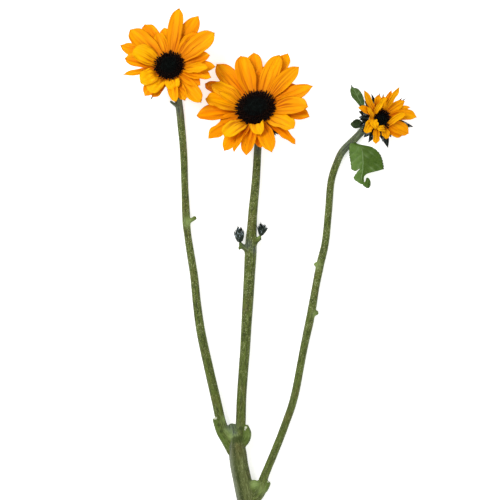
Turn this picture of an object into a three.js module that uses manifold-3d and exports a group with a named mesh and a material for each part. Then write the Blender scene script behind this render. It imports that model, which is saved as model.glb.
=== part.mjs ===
// A cut sunflower lying on a table with its flower heads up: one stalk that forks into three, a
// flower head on each branch, two unopened buds and three small leaves.
// Millimetres, +Z up, +Y along the stalk towards the heads. The origin is on the table, under the
// middle of the whole flower.

import * as THREE from "three";
import { mergeVertices } from "three/addons/utils/BufferGeometryUtils.js";
import Module from "manifold-3d";

const wasm = await Module();
wasm.setup();

// ---- Driving dimensions ----

// The tables below are laid out from a point beside the buds; this moves them over the origin.
const LAYOUT_SHIFT = { x: -20.5, y: 30.5 };
const CLEARANCE = 0.3; // between pieces that touch on the real flower

const STALK_SIDES = 10;
const STUB_SIDES = 8;
const BUD_SIDES = 8;
const PETAL_THICKNESS = 0.7;
const BRACT_THICKNESS = 0.8;
const LEAF_THICKNESS = 0.9;
const BLADE_STEPS = 20; // steps in which a blade's bend is added up
const TIP_HALF_WIDTH = 0.4;
// Blades: the stations along one are shares of its length, and its edges rise by a share of its
// half width.
const PETAL = { shape: petalShare, stations: [0, 0.4, 0.8, 1], columns: 3, cup: 0.25 };
const CURLED_PETAL = { ...PETAL, stations: [0, 0.25, 0.5, 0.75, 0.9, 1] };
const CURLED = 40; // from this much curl on, a petal has the closer stations
const BRACT = { shape: bractShare, stations: [0, 0.35, 0.7, 1], columns: 2, cup: 0 };
const BUD_BRACT = { ...BRACT, shape: budBractShare };

// Stalks: rows of [x, y, height of the centre line, diameter].
const MAIN_STALK = [
  [5, -327, 9.6, 20.5], [1, -302, 10.4, 20.5], [-4, -275, 11.3, 20.5], [-8.4, -253, 12.1, 20.3],
  [-11.8, -236, 12.8, 20], [-14, -219, 13.4, 19], [-16.5, -205, 13.8, 13],
];
const LEFT_BRANCH = [
  [-14, -228, 13.2, 10], [-21, -210, 13.2, 12], [-30.5, -193, 12.6, 11], [-36.7, -167, 11.8, 10.6],
  [-45.8, -128, 10.5, 10.2], [-54, -90, 9.3, 9.8], [-58.5, -58, 8.3, 9.2], [-61.5, -29, 7.4, 8.8],
  [-65.5, -4, 6.7, 8.4], [-68.8, 18, 6.2, 8], [-70.1, 33, 5.9, 9], [-71.7, 68, 5.3, 7.8],
  [-73.2, 108, 4.5, 8], [-76.5, 145, 3.85, 8.4],
];
const MIDDLE_BRANCH = [
  [-13, -226, 13.3, 10], [-10.6, -200, 12.9, 11], [-9.4, -165, 12, 10.6], [-7.6, -137, 11.4, 10.7],
  [-5.5, -110, 10.9, 11], [-3.9, -82, 10.4, 11.4], [-2.2, -55, 10, 12], [-0.6, -27, 9.5, 12.4],
  [0.6, -5, 9, 13.2], [1.2, 10, 8.7, 12.6], [2.2, 27, 8.1, 10.6], [3.3, 44, 7.6, 10],
  [5.5, 66, 6.9, 9.4], [7.2, 88, 6.3, 8.8], [8.3, 108, 5.8, 8.4],
];
const RIGHT_BRANCH = [
  [-5, -279, 11.3, 12], [5.5, -271.5, 12, 14.5], [12, -262.5, 12.3, 13], [14.8, -252, 12.1, 9.8],
  [19, -241, 11.7, 8.9], [27, -222, 11.1, 8.7], [38.5, -192.5, 10.3, 8.5], [49, -160.5, 9.5, 8.6],
  [59, -109, 8.3, 8.4], [66.5, -74, 7.6, 9.3], [72.4, -40.5, 7, 8.3], [77.3, -16, 6.5, 8.9],
  [83, 9, 5.9, 8.1], [86.5, 43, 5.3, 8], [89.5, 76, 4.6, 8], [96.8, 98.6, 4.1, 8],
  [103, 110, 3.85, 8.2], [115, 122, 3.75, 8.2],
];
const NECK_STATIONS = 5; // rings where a stalk bends up into its head
const NECK_HANDLE = 0.42; // how gently it bends, as a share of the straight distance

// Cut leaf stalks and other stubs: rows of [x, y, height, diameter], the first one inside a stalk.
const STUBS = [
  [[-20, -223, 13.5, 9], [-26.5, -211, 14.2, 8.6], [-33.5, -200, 14.8, 7], [-38.4, -186, 15.4, 5.6]],
  [[-9.5, -215, 13.5, 9], [-4.6, -208, 15, 9.4], [-2.8, -201, 16.2, 8.6], [-4.4, -194, 17, 6.4]],
  [[8, -268, 12.4, 10], [15.2, -262.5, 13.2, 9.2], [19.4, -256, 14, 7.2]],
  [[-70, 30, 6.5, 5], [-65, 32.5, 7.6, 5], [-60.5, 35.5, 8.6, 4.6]],
  [[67, -71, 7.6, 7], [73.6, -69, 8.7, 5.6]],
  [[77, -17, 6.7, 7], [71.5, -15.5, 8, 4.6]],
  [[-80, 158, 6, 4], [-87.5, 163.5, 8, 2.6]],
  [[-3, 0, 10.3, 7], [-7.6, 3.6, 11.3, 5.8], [-10.6, 7.4, 11.8, 4.4]],
  [[-9, 5.5, 11.5, 3.8], [-11.4, 3, 11.8, 3.2], [-11.6, 0.6, 11.7, 2.6]],
  [[4, 5, 10.3, 6.4], [8, 10.8, 11.5, 4.8], [11.2, 15.2, 12, 3.8]],
  [[4.5, 8, 10.8, 4.4], [9, 10.2, 11.8, 3.6], [12, 12, 12.2, 3]],
  [[-15, -222, 13, 14], [-17.5, -208, 13, 13], [-19.2, -198.5, 12.8, 11], [-19.9, -193.5, 12.4, 8.5]],
  [[-2, -262, 12.6, 12.5], [4.5, -259, 13, 13], [8.5, -258.2, 13, 10]],
];

// Petals: rows of [direction round the head, length, width, rise, curl, twist, sway, bluntness,
// veer]. Rise is the slope at the root, curl the change of slope to the tip, sway the sideways bend,
// and veer a turn aside at the root, all in degrees. Bluntness is 0 for a point, 1 for a round tip.
const MIDDLE_PETALS = [
  [106, 48, 21, 20, -14, 0, 0, 0.6], [94, 53, 20, 10, -10, 0, 0, 0.6],
  [70, 49, 21, 20, -18, 0, -4, 0.6], [64, 57, 18, 6, -6, 10, 2, 0.9],
  [43, 47, 18, 24, -20, 20, 0, 0.3], [20, 47, 17, 14, -16, 20, 0, 0.1],
  [353, 41, 23, 22, -14, 0, -4, 1], [345, 42, 20, 10, -12, -10, 0, 0.8],
  [321, 40, 21, 34, -34, -15, 0, 1], [313, 46, 11, 4, -8, -20, 0, 1],
  [289, 45, 18, 14, -16, 0, 0, 0.3], [279, 30, 14, 2, -10, 0, 0, 0.8],
  [264, 44, 16, 14, -14, 0, 0, 0.8], [252, 45, 11, 22, -20, 50, 0, 0.7],
  [239, 42, 18, 6, -10, 0, 0, 0.6], [236, 38, 20, 48, -44, -10, 0, 0.9],
  [216, 42, 17, 6, -8, 0, 0, 0.9], [188, 45, 21, 12, -12, 0, -4, 0.9],
  [173, 37, 22, 36, -30, 10, -4, 0.9], [152, 38, 20, 34, -26, 20, -2, 0.7],
  [147, 49, 17, 4, -8, 0, 2, 0.9], [127, 55, 21, 14, -16, -10, 2, 0.7],
  [278, 26, 16, 84, -116, 14, 16, 0.7], [84, 34, 16, 14, -14, 0, 0, 0.6],
  [32, 32, 16, 6, -10, 0, 0, 0.6], [204, 22, 13, 14, -12, 0, 0, 0.6],
];
const LEFT_PETALS = [
  [82, 52, 17, 16, -12, 0, -2, 0.7], [64, 51, 19, 8, -8, 15, -5, 0.5],
  [34, 47, 22, 20, -16, 10, 0, 0.8], [14, 31, 14, 8, -8, 0, 0, 0.8],
  [358, 36, 14, 2, -8, 0, 0, 0.5], [347, 34, 12, 34, -18, 0, 6, 0.9],
  [340, 36, 16, 18, -20, -20, 0, 0.3], [310, 43, 18, 12, -16, 0, -2, 0.9],
  [280, 33, 12, 22, -16, 20, 6, 0.6], [294, 31, 12, 12, -16, 0, 0, 0.7],
  [232, 28, 16, 4, -12, 0, 0, 0.5], [243, 24, 15, 2, -12, 0, 0, 0.8],
  [193, 37, 9, 14, -12, 30, -4, 0.2], [168, 36, 17, 12, -16, 0, 0, 0.8],
  [154, 47, 15, 6, -12, 0, 0, 0.7], [158, 31, 21, 48, -54, 0, -6, 0.9],
  [137, 46, 21, 18, -12, 0, 0, 1], [120, 43, 19, 10, -12, 0, 0, 1], [99, 32, 13, 6, -12, 0, 0, 0.9],
  [283, 18, 17, 84, -130, 0, 0, 0.9], [216, 25, 19, 70, -100, 0, 0, 0.9],
  [240, 26, 18, 66, -100, 0, 0, 0.9], [50, 34, 17, 14, -14, 0, 0, 0.6],
  [110, 27, 14, 20, -16, 0, 0, 0.6], [325, 28, 14, 10, -10, 0, 0, 0.6],
];
const RIGHT_PETALS = [
  [134, 32, 8, 30, -26, 0, -30, 0.6, 10], [152, 23, 8, 24, -30, 0, 18, 0.8],
  [185, 19, 5.5, 40, -36, 0, 12, 0.4, -61], [116, 20, 9, 30, -22, 0, -48, 0.5],
  [162, 26, 6, 46, -38, 0, -48, 0.8, -73], [79, 25, 7, 26, -16, 0, -4, 0.6, -7],
  [64, 32, 6.5, 34, -20, 0, -12, 0.9, 7], [94, 17, 10, 36, -28, 0, 27, 0.5, -22],
  [48, 25, 10, 26, -18, 0, -13, 0.6, -8], [38, 29, 6.5, 24, -20, 0, -29, 0.1, -7],
  [15, 34, 12.5, 24, -24, 0, -44, 0.2, 8], [332, 27, 15, 22, -26, 0, -11, 0.4, 11],
  [316, 26, 7, 44, -38, 0, -43, 0.8, 103], [311, 22, 12, 16, -20, 0, 6, 0.7, 20],
  [303, 17, 7, 66, -84, 0, -12, 0.9, -112], [287, 13, 10, 34, -36, 0, -13, 0.7],
  [239, 20, 9, 28, -36, 0, 18, 0.8, 11], [199, 19, 11, 40, -60, 0, 82, 0.9, -9],
  [168, 17, 10, 64, -90, 0, 108, 0.9, 65],
];

// Bracts: the same kind of row, as far as its curl.
const RIGHT_BRACTS = [
  [111, 21, 8, 12, -10], [88, 22, 7, 6, -4], [82, 20, 7, 14, -10], [41, 31, 7, 8, -2],
  [38, 31, 6, 14, -8], [10, 19, 8, 0, -6], [352, 35, 13, 2, -8], [325, 21, 9, 6, 0],
  [290, 23, 14, 0, -2], [251, 15, 11, 4, 0], [241, 20, 12, 4, -2], [227, 19, 13, -2, 4],
  [211, 18, 14, 2, 4], [196, 18, 14, -2, 8], [176, 17, 14, 2, 6], [162, 19, 14, 2, 6],
  [148, 20, 14, 2, 6], [132, 20, 10, 4, 4],
];
const LONG_BRACT = [237, 30, 7, -14, 8]; // it shows below the left head's petals
// The other heads' bracts: their length as a share of the given one, their rise and their curl.
const BRACT_RING = { upper: { length: 1, rise: -5 }, lower: { length: 0.92, rise: -16 }, curl: -6 };

// Heads: centre of the petals' roots, lean of the face from straight up, the side it leans to, the
// radius of the dark disc, and how far below the roots the stalk ends.
const HEADS = {
  left: {
    centre: [-87.7, 200.2, 34], lean: 21, towards: 112, disc: 14.5, depth: 14, florets: 24,
    stalk: LEFT_BRANCH, petals: LEFT_PETALS, bracts: [...bractRing(13, 21, 8.5, 3), LONG_BRACT],
  },
  middle: {
    centre: [6.5, 153.5, 39], lean: 33, towards: 108, disc: 20, depth: 17, florets: 27,
    stalk: MIDDLE_BRANCH, petals: MIDDLE_PETALS, bracts: bractRing(15, 24, 9.5, 11),
  },
  right: {
    centre: [142.8, 142.8, 26], lean: 27, towards: 5, disc: 9.2, depth: 11, florets: 21,
    stalk: RIGHT_BRANCH, petals: RIGHT_PETALS, bracts: RIGHT_BRACTS,
  },
};
// Where petals are rooted: how far outside the disc, and how high. Every second one is an upper
// one; those that stand up steeper than STEEP_RISE are rooted deeper and further out.
const STEEP_RISE = 55;
const ROOTS = {
  lower: { beyond: 0.8, height: 0 },
  upper: { beyond: 0.8, height: 0.8 },
  steep: { beyond: 2, height: -0.6 },
};
const RING = { inner: 0.75, beyond: 3, bottom: -1.2, top: 1.3, sides: 18 };
const CROWN = 0.25; // how much a disc's middle stands over its rim, as a share of the radius
const DISC_BASE = 2.6; // height of its rim
// Florets: how high a peak stands over the dome, how deep the dips between lie, and how far apart
// the rings are, as shares of the spacing in a ring. The rings end at the smallest radius.
const FLORET = { peak: 0.42, dip: 0.06, ring: 0.866, smallest: 2.4 };
const DISC_FOOT = { inner: 0.7, outer: 0.95 }; // its underside, as shares of its radius
// The green cup: how far its rim stands out beyond the disc, and its outline from the stalk up to
// the rim as shares of the rim's radius and of its depth. Every second bract is a lower one.
const CUP = {
  beyond: 2, top: -1.5, lip: 0.6, foot: 4.6, outline: [[0.55, 0.72], [0.84, 0.44], [1, 0.2]],
};
const BRACT_ROOTS = { upper: { out: 0.84, down: 0.28 }, lower: { out: 0.7, down: 0.44 } };

// Leaves by rows from base to tip: [y, left edge, right edge, middle rib, height, lag], all at x.
// Lag is how much further along the left edge lies than the rib, and is 0 where it isn't given:
// the torn leaf's notch runs back up behind it. The curled tip is part of the torn leaf.
const TORN_LEAF = [
  [119, 111.5, 116, 114, 4.5], [116.5, 110, 120, 114.5, 9], [113.5, 109, 133.5, 121, 10.2],
  [108, 109, 141, 123.5, 11], [101, 109.5, 145, 124, 11.4], [94.8, 110.8, 146.4, 124.4, 11],
  [94.3, 110.8, 146.5, 124.3, 10.97, 2.8], [93.9, 111.4, 146.6, 124.2, 10.94, 5.2],
  [93.6, 116, 146.7, 124.1, 10.91, 6.8], [93.2, 120.6, 146.8, 124, 10.87, 3.8],
  [89, 119.4, 146.8, 124, 10.4, 1.4], [87.6, 118.6, 143, 123.8, 10.2, 0.6],
  [86.2, 117.9, 137.4, 123.8, 9.9], [84.8, 117.2, 132, 123.6, 9.6], [83.4, 116, 128.2, 123.2, 9.2],
  [80.8, 114.4, 125.8, 122.8, 8.5],
  [78.5, 114.1, 125.5, 122.6, 8.1], [76, 116.6, 125.6, 122.8, 7.5], [74, 119.6, 126, 123.4, 7],
  [72.4, 122.6, 126, 124.4, 6.6],
];
const CURLED_TIP = [
  [79.6, 128.4, 129.9, 129.2, 8.6], [78.2, 127.6, 131.6, 129.6, 9], [75.6, 126.8, 132.7, 129.6, 9],
  [73, 124.4, 132.9, 128.8, 8.2], [70.6, 125, 132.6, 129, 7], [68.2, 128.6, 131, 129.8, 5.8],
];
const UPPER_LEAF = [
  [131, 124, 128, 126, 8], [138.5, 123.2, 126.2, 124.7, 13.5], [145, 122.6, 126, 124.3, 15.5],
  [151.5, 122.2, 126, 124.1, 16.6], [157, 120.8, 125.8, 123.4, 17.4],
  [160.5, 118.2, 125.6, 122, 17.8], [164, 115.2, 125.2, 120.4, 18], [167.6, 112, 124.4, 118.4, 18],
  [171, 110.6, 123, 116.8, 17.8], [175.4, 109.9, 120.2, 114.4, 17],
  [177.4, 110.4, 117.6, 113, 16.4], [178.4, 110.8, 114.4, 112.4, 15.8],
  [179.4, 111, 112.8, 111.9, 15.2], [181.6, 111.1, 111.9, 111.5, 14],
];
const LEAF_FOLD = 0.1; // how far the leaf's edges stand above its rib, as a share of the distance
const LEAF_COLUMNS = 3; // on each side of the rib

// The side leaf runs along x: [x, lower edge, upper edge, middle rib, height], all at y.
const SIDE_LEAF = [
  [132, 136.5, 139.5, 138, 10.5], [127, 135.8, 139.6, 137.8, 9.6], [123, 134.8, 141.6, 138, 9],
  [119.2, 134.2, 144, 138.6, 8.6], [115.5, 133.8, 143.6, 138.7, 8], [112.8, 135.4, 141.4, 138.6, 7.2],
  [110.6, 138.2, 139.2, 138.7, 6.4],
];

// Buds: [x, y, height] of the base, the direction they point in plan, their rise, the radius and
// length of the egg inside, the length of the longest bract, and how far the bracts curl inwards.
const BUDS = {
  left_bud: {
    base: [-11, 8.1, 12], towards: 94, rise: 14, radius: 3.6, length: 12, spike: 18, curl: 28,
  },
  right_bud: {
    base: [11.6, 15.6, 12.1], towards: 75, rise: 12, radius: 2.9, length: 8, spike: 14.5, curl: 6,
  },
};
const BUD_BRACTS = 7;
const BUD_BRACT_WIDTH = 1.8; // as a share of the egg's radius
const BUD_RAGGED = 0.36; // how much shorter than the longest a bract may be
const BUD_BRACT_ROOT = { radius: 0.7, height: 0.45 }; // likewise, where they are rooted
const BUD_BRACT_RISE = { middle: 62, vary: 5 };
const EGG_STEPS = 6;
const EGG_FULLNESS = 0.8; // the power of the sine that its radius follows: less is fuller
const TABLE = { width: 800, length: 1200, thickness: 100 };

// ---- Materials ----

const paint = (color, roughness) => new THREE.MeshStandardMaterial({ color, roughness, metalness: 0 });
const MATERIALS = {
  petal: paint(0xffa405, 0.5),
  disc: paint(0x15120f, 0.9),
  bract: paint(0x3a4e34, 0.7),
  stalk: paint(0x5c6b34, 0.6),
  leaf: paint(0x5f8a42, 0.6),
  bud: paint(0x2c3a26, 0.7),
};

// ---- Small helpers ----

const UP = new THREE.Vector3(0, 0, 1);
const radians = THREE.MathUtils.degToRad;
const clamp01 = (value) => THREE.MathUtils.clamp(value, 0, 1);

// The same number between -1 and 1 for the same seed, on every run.
function chance(seed) {
  const wave = Math.sin(seed * 12.9898) * 43758.5453;
  return 2 * (wave - Math.floor(wave)) - 1;
}

// Two rows of bracts evenly round the cup, each a little longer or shorter than the next. The
// lower row is shorter and hangs lower.
function bractRing(count, length, width, seed) {
  const { upper, lower, curl } = BRACT_RING;
  return Array.from({ length: count }, (_, k) => {
    const vary = (share, draw) => share * chance(seed + k + draw);
    const own = k % 2 ? lower : upper;
    return [
      (360 * (k + vary(0.25, 0))) / count,
      length * (1 + vary(0.14, 50)) * own.length,
      width * (1 + vary(0.1, 90)),
      own.rise + vary(3, 130),
      curl + vary(8, 170),
    ];
  });
}

// ---- Solids ----

// A closed three.js geometry as a solid: its shared corners are merged and flat faces dropped.
function solidOf(geometry) {
  const bare = geometry.clone();
  bare.deleteAttribute("normal");
  bare.deleteAttribute("uv");
  const merged = mergeVertices(bare, 1e-4);
  const corners = [];
  for (let k = 0; k < merged.index.count; k += 3) {
    const [a, b, c] = [0, 1, 2].map((step) => merged.index.getX(k + step));
    if (a !== b && b !== c && c !== a) corners.push(a, b, c);
  }
  return new wasm.Manifold(new wasm.Mesh({
    numProp: 3,
    vertProperties: merged.attributes.position.array,
    triVerts: new Uint32Array(corners),
  }));
}

function geometryOf(points, corners) {
  const geometry = new THREE.BufferGeometry().setFromPoints(points);
  geometry.setIndex(corners);
  return geometry;
}

// Solids fused into one body. Pockets that the fusing seals are filled, and scraps are dropped.
function fused(solids) {
  const shells = solids.reduce((whole, next) => whole.add(next)).decompose();
  return shells.reduce((largest, next) => (next.volume() > largest.volume() ? next : largest));
}

function meshOf(name, solid, material) {
  const { vertProperties, triVerts } = solid.getMesh();
  const geometry = new THREE.BufferGeometry();
  geometry.setAttribute("position", new THREE.BufferAttribute(new Float32Array(vertProperties), 3));
  geometry.setIndex(new THREE.BufferAttribute(new Uint32Array(triVerts), 1));
  geometry.computeVertexNormals();
  const mesh = new THREE.Mesh(geometry, material);
  mesh.name = name;
  return mesh;
}

// A skin through rings of points, closed by a fan at each end. The rings run anticlockwise as
// seen from the last ring.
function loft(rings) {
  const sides = rings[0].length;
  const points = rings.flat();
  const corners = [];
  for (let r = 0; r + 1 < rings.length; r += 1) {
    for (let k = 0; k < sides; k += 1) {
      const [a, b] = [r * sides + k, r * sides + ((k + 1) % sides)];
      corners.push(a, b, a + sides, b, b + sides, a + sides);
    }
  }
  for (const end of [0, rings.length - 1]) {
    const middle = points.push(rings[end].reduce((sum, p) => sum.add(p), new THREE.Vector3()));
    points[middle - 1].divideScalar(sides);
    for (let k = 0; k < sides; k += 1) {
      const [a, b] = [end * sides + k, end * sides + ((k + 1) % sides)];
      corners.push(middle - 1, end ? a : b, end ? b : a);
    }
  }
  return solidOf(geometryOf(points, corners));
}

// A thin closed sheet: a grid of points pushed half the thickness each way along its own normals,
// with both faces split along the same diagonals and a wall round the edge.
function sheet(grid, thickness) {
  const [rows, columns] = [grid.length, grid[0].length];
  const at = (r, c) => grid[THREE.MathUtils.clamp(r, 0, rows - 1)][THREE.MathUtils.clamp(c, 0, columns - 1)];
  const faces = [1, -1].map((side) => grid.flatMap((row, r) => row.map((point, c) => {
    const along = at(r + 1, c).clone().sub(at(r - 1, c));
    const across = at(r, c + 1).clone().sub(at(r, c - 1));
    return point.clone().addScaledVector(along.cross(across).normalize(), (side * thickness) / 2);
  })));
  const corners = [];
  const under = rows * columns;
  for (let r = 0; r + 1 < rows; r += 1) {
    for (let c = 0; c + 1 < columns; c += 1) {
      const [a, b] = [r * columns + c, r * columns + c + 1];
      const [d, e] = [a + columns, b + columns];
      corners.push(a, d, e, a, e, b);
      corners.push(under + a, under + e, under + d, under + a, under + b, under + e);
    }
  }
  const rim = [];
  for (let c = 0; c < columns - 1; c += 1) rim.push(c);
  for (let r = 0; r < rows - 1; r += 1) rim.push(r * columns + columns - 1);
  for (let c = columns - 1; c > 0; c -= 1) rim.push((rows - 1) * columns + c);
  for (let r = rows - 1; r > 0; r -= 1) rim.push(r * columns);
  rim.forEach((a, k) => {
    const b = rim[(k + 1) % rim.length];
    corners.push(a, b, under + b, a, under + b, under + a);
  });
  return solidOf(geometryOf(faces.flat(), corners));
}

// ---- Stalks ----

// Rings of a stalk: its centre line is a smooth curve through the table's points.
function alongTable(rows, count) {
  const curve = new THREE.CatmullRomCurve3(rows.map(([x, y, z]) => new THREE.Vector3(x, y, z)));
  return Array.from({ length: count + 1 }, (_, k) => {
    const place = (k / count) * (rows.length - 1);
    const row = Math.min(Math.floor(place), rows.length - 2);
    const diameter = THREE.MathUtils.lerp(rows[row][3], rows[row + 1][3], place - row);
    return { centre: curve.getPoint(k / count), radius: diameter / 2 };
  });
}

// The last stretch of a stalk, bending up from where it lies into the back of its head.
function neck(from, before, head) {
  const end = head.place.clone().addScaledVector(head.axis, -head.depth);
  const heading = from.centre.clone().sub(before.centre).setZ(0).normalize();
  const handle = from.centre.distanceTo(end) * NECK_HANDLE;
  const curve = new THREE.CubicBezierCurve3(
    from.centre,
    from.centre.clone().addScaledVector(heading, handle),
    end.clone().addScaledVector(head.axis, -handle),
    end,
  );
  return Array.from({ length: NECK_STATIONS }, (_, k) => ({
    centre: curve.getPoint((k + 1) / NECK_STATIONS),
    radius: from.radius,
  }));
}

// A round stalk through its rings, with a flat side down, ending square to endAxis if given.
function stalkSolid(stations, sides, grow, endAxis) {
  const last = stations.length - 1;
  return loft(stations.map(({ centre, radius }, k) => {
    const ahead = stations[Math.min(k + 1, last)].centre;
    const behind = stations[Math.max(k - 1, 0)].centre;
    const heading = k === last && endAxis ? endAxis : ahead.clone().sub(behind).normalize();
    const side = new THREE.Vector3().crossVectors(UP, heading).normalize();
    const lift = new THREE.Vector3().crossVectors(heading, side);
    return Array.from({ length: sides }, (_, n) => {
      const turn = ((n + 0.5) / sides) * 2 * Math.PI - Math.PI / 2;
      return centre.clone()
        .addScaledVector(side, (radius + grow) * Math.cos(turn))
        .addScaledVector(lift, (radius + grow) * Math.sin(turn));
    });
  }));
}

// All that grew as one woody piece, optionally grown by a clearance to cut its neighbours with.
function stemSolid(grow = 0) {
  const solids = [stalkSolid(alongTable(MAIN_STALK, MAIN_STALK.length), STALK_SIDES, grow)];
  for (const head of Object.values(HEADS)) {
    const lying = alongTable(head.stalk, head.stalk.length);
    const bend = neck(lying.at(-1), lying.at(-2), head);
    solids.push(stalkSolid([...lying, ...bend], STALK_SIDES, grow, head.axis));
  }
  for (const rows of STUBS) solids.push(stalkSolid(alongTable(rows, rows.length - 1), STUB_SIDES, grow));
  return fused(solids);
}

// The space under the table's surface, to pare the three low points flat.
function underTable() {
  const box = new THREE.BoxGeometry(TABLE.width, TABLE.length, TABLE.thickness);
  box.translate(0, 0, -TABLE.thickness / 2);
  return solidOf(box);
}

// ---- Flower heads: each is made round its own axis, with the petals' roots at height 0 ----

// A petal's width along its length: two fifths at the root, full before the middle, then closing
// to a pointed or a round tip.
function petalShare(s, bluntness) {
  const open = clamp01(s / 0.45);
  const close = clamp01((s - 0.4) / 0.6);
  return (0.4 + 0.6 * open * open * (3 - 2 * open)) * (1 - close ** 3.2) ** (0.9 - 0.5 * bluntness);
}

// A bract's: broad from its root, drawn out to a long point.
function bractShare(s) {
  const open = clamp01(s / 0.35);
  return (0.75 + 0.25 * open * open * (3 - 2 * open)) * (1 - s ** 1.7) ** 0.95;
}

// A bud's bract: narrow at its root, where it meets its neighbours, and as long a point.
function budBractShare(s) {
  return bractShare(s) * (0.5 + 0.5 * clamp01(s / 0.35));
}

// A blade as a grid: its middle line leaves the head at the row's rise and veer and bends by its
// curl and sway, and the sections across it turn by its twist and cup upwards.
function bladeGrid(row, rootRadius, rootHeight, { shape, stations, columns, cup }) {
  const [direction, length, width, rise, curl, twist = 0, sway = 0, bluntness = 0.5, veer = 0] = row;
  const round = radians(direction);
  const heading = (s) => {
    const slope = radians(rise + curl * s);
    const turn = radians(direction + veer + sway * s);
    return new THREE.Vector3(
      Math.cos(slope) * Math.cos(turn), Math.cos(slope) * Math.sin(turn), Math.sin(slope));
  };
  const middle = [new THREE.Vector3(rootRadius * Math.cos(round), rootRadius * Math.sin(round), rootHeight)];
  for (let k = 1; k <= BLADE_STEPS; k += 1) {
    const step = heading((k - 1) / BLADE_STEPS).add(heading(k / BLADE_STEPS));
    middle.push(middle[k - 1].clone().addScaledVector(step, length / BLADE_STEPS / 2));
  }
  return stations.map((s) => {
    const centre = middle[Math.round(s * BLADE_STEPS)];
    const turn = radians(direction + veer + sway * s);
    const level = new THREE.Vector3(-Math.sin(turn), Math.cos(turn), 0);
    const across = level.applyAxisAngle(heading(s), radians(twist * s));
    const face = new THREE.Vector3().crossVectors(heading(s), across);
    const halfWidth = Math.max((width / 2) * shape(s, bluntness), TIP_HALF_WIDTH);
    return Array.from({ length: columns }, (_, c) => {
      const w = (2 * c) / (columns - 1) - 1;
      return centre.clone()
        .addScaledVector(across, w * halfWidth)
        .addScaledVector(face, cup * w * w * halfWidth);
    });
  });
}

// The yellow ring that carries the petals, and the petals on it.
function raysSolid(head) {
  const inner = head.disc * RING.inner;
  const outer = head.disc + RING.beyond;
  const section = [
    [inner, RING.bottom], [outer, RING.bottom], [outer, RING.top], [inner, RING.top], [inner, RING.bottom],
  ].map(([r, z]) => new THREE.Vector2(r, z));
  const solids = [solidOf(standing(new THREE.LatheGeometry(section, RING.sides)))];
  head.petals.forEach((row, k) => {
    const layer = k % 2 ? "lower" : "upper";
    const root = ROOTS[row[3] > STEEP_RISE ? "steep" : layer];
    const blade = Math.abs(row[4]) < CURLED ? PETAL : CURLED_PETAL;
    const grid = bladeGrid(row, head.disc + root.beyond, root.height, blade);
    solids.push(sheet(grid, PETAL_THICKNESS));
  });
  return fused([fused(solids).subtract(roomForDisc(head))]);
}

// A lathe turns about Y; this stands its axis up along Z.
const standing = (geometry) => geometry.rotateX(Math.PI / 2);

// The height of a disc's dome at a distance from its axis.
const discHeight = (disc, radius) => DISC_BASE + disc * CROWN * (1 - (radius / disc) ** 2);

// The space that a disc takes, peaks and clearance included, for petals that lean over it. Its
// sides' middles, not their corners, stand the clearance off the disc.
function roomForDisc({ disc, florets }) {
  const room = (disc + CLEARANCE) / Math.cos(Math.PI / RING.sides);
  const above = FLORET.peak * ((2 * Math.PI * disc) / florets) + CLEARANCE;
  const outline = [[0, RING.top], [room, RING.top]];
  for (const share of [1, 0.8, 0.6, 0.4, 0.2, 0]) {
    outline.push([room * share, discHeight(disc, disc * share) + above]);
  }
  const section = outline.map(([r, z]) => new THREE.Vector2(r, z));
  return solidOf(standing(new THREE.LatheGeometry(section, RING.sides)));
}

// The dark disc: a low dome covered with florets, each the peak of a small six-sided cone. Every
// ring is a fixed share of the one outside it and turned half a step, so the florets run in spirals
// and every third corner is a peak.
function discSolid({ disc, florets }) {
  const ringShare = 1 - (2 * Math.PI * FLORET.ring) / florets;
  const ringCount = Math.ceil(Math.log(FLORET.smallest / disc) / Math.log(ringShare));
  const circle = (radius, height, ring = 0) => Array.from({ length: florets }, (_, j) => {
    const turn = ((j + ring / 2) / florets) * 2 * Math.PI;
    return new THREE.Vector3(radius * Math.cos(turn), radius * Math.sin(turn), height);
  });
  const rings = [
    circle(disc * DISC_FOOT.inner, RING.bottom),
    circle(disc * DISC_FOOT.inner, RING.top + CLEARANCE),
    circle(disc * DISC_FOOT.outer, RING.top + CLEARANCE),
  ];
  for (let k = 0; k < ringCount; k += 1) {
    const radius = disc * ringShare ** k;
    const spacing = (2 * Math.PI * radius) / florets;
    const height = discHeight(disc, radius);
    rings.push(circle(radius, height, k).map((point, j) => {
      const peak = (j - k + 3 * florets) % 3 === 0 ? FLORET.peak : -FLORET.dip;
      return point.setZ(height + peak * spacing);
    }));
  }
  return loft(rings);
}

// The green cup under the petals, and the bracts on it.
function bractsSolid(head) {
  const rim = head.disc + CUP.beyond;
  const foot = CLEARANCE - head.depth;
  const outline = [
    [0, foot], [CUP.foot, foot], ...CUP.outline.map(([out, down]) => [rim * out, -head.depth * down]),
    [rim - CUP.lip, CUP.top], [0, CUP.top],
  ].map(([r, z]) => new THREE.Vector2(r, z));
  const solids = [solidOf(standing(new THREE.LatheGeometry(outline, RING.sides)))];
  head.bracts.forEach((row, k) => {
    const root = k % 2 ? BRACT_ROOTS.lower : BRACT_ROOTS.upper;
    const grid = bladeGrid(row, rim * root.out, -head.depth * root.down, BRACT);
    solids.push(sheet(grid, BRACT_THICKNESS));
  });
  return fused(solids);
}

function headGroup(name, head) {
  const group = new THREE.Group();
  group.position.copy(head.place);
  group.quaternion.setFromUnitVectors(UP, head.axis);
  group.add(
    meshOf(`${name}_head_rays`, raysSolid(head), MATERIALS.petal),
    meshOf(`${name}_head_disc`, discSolid(head), MATERIALS.disc),
    meshOf(`${name}_head_bracts`, bractsSolid(head), MATERIALS.bract),
  );
  return group;
}

// ---- Leaves and buds ----

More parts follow.
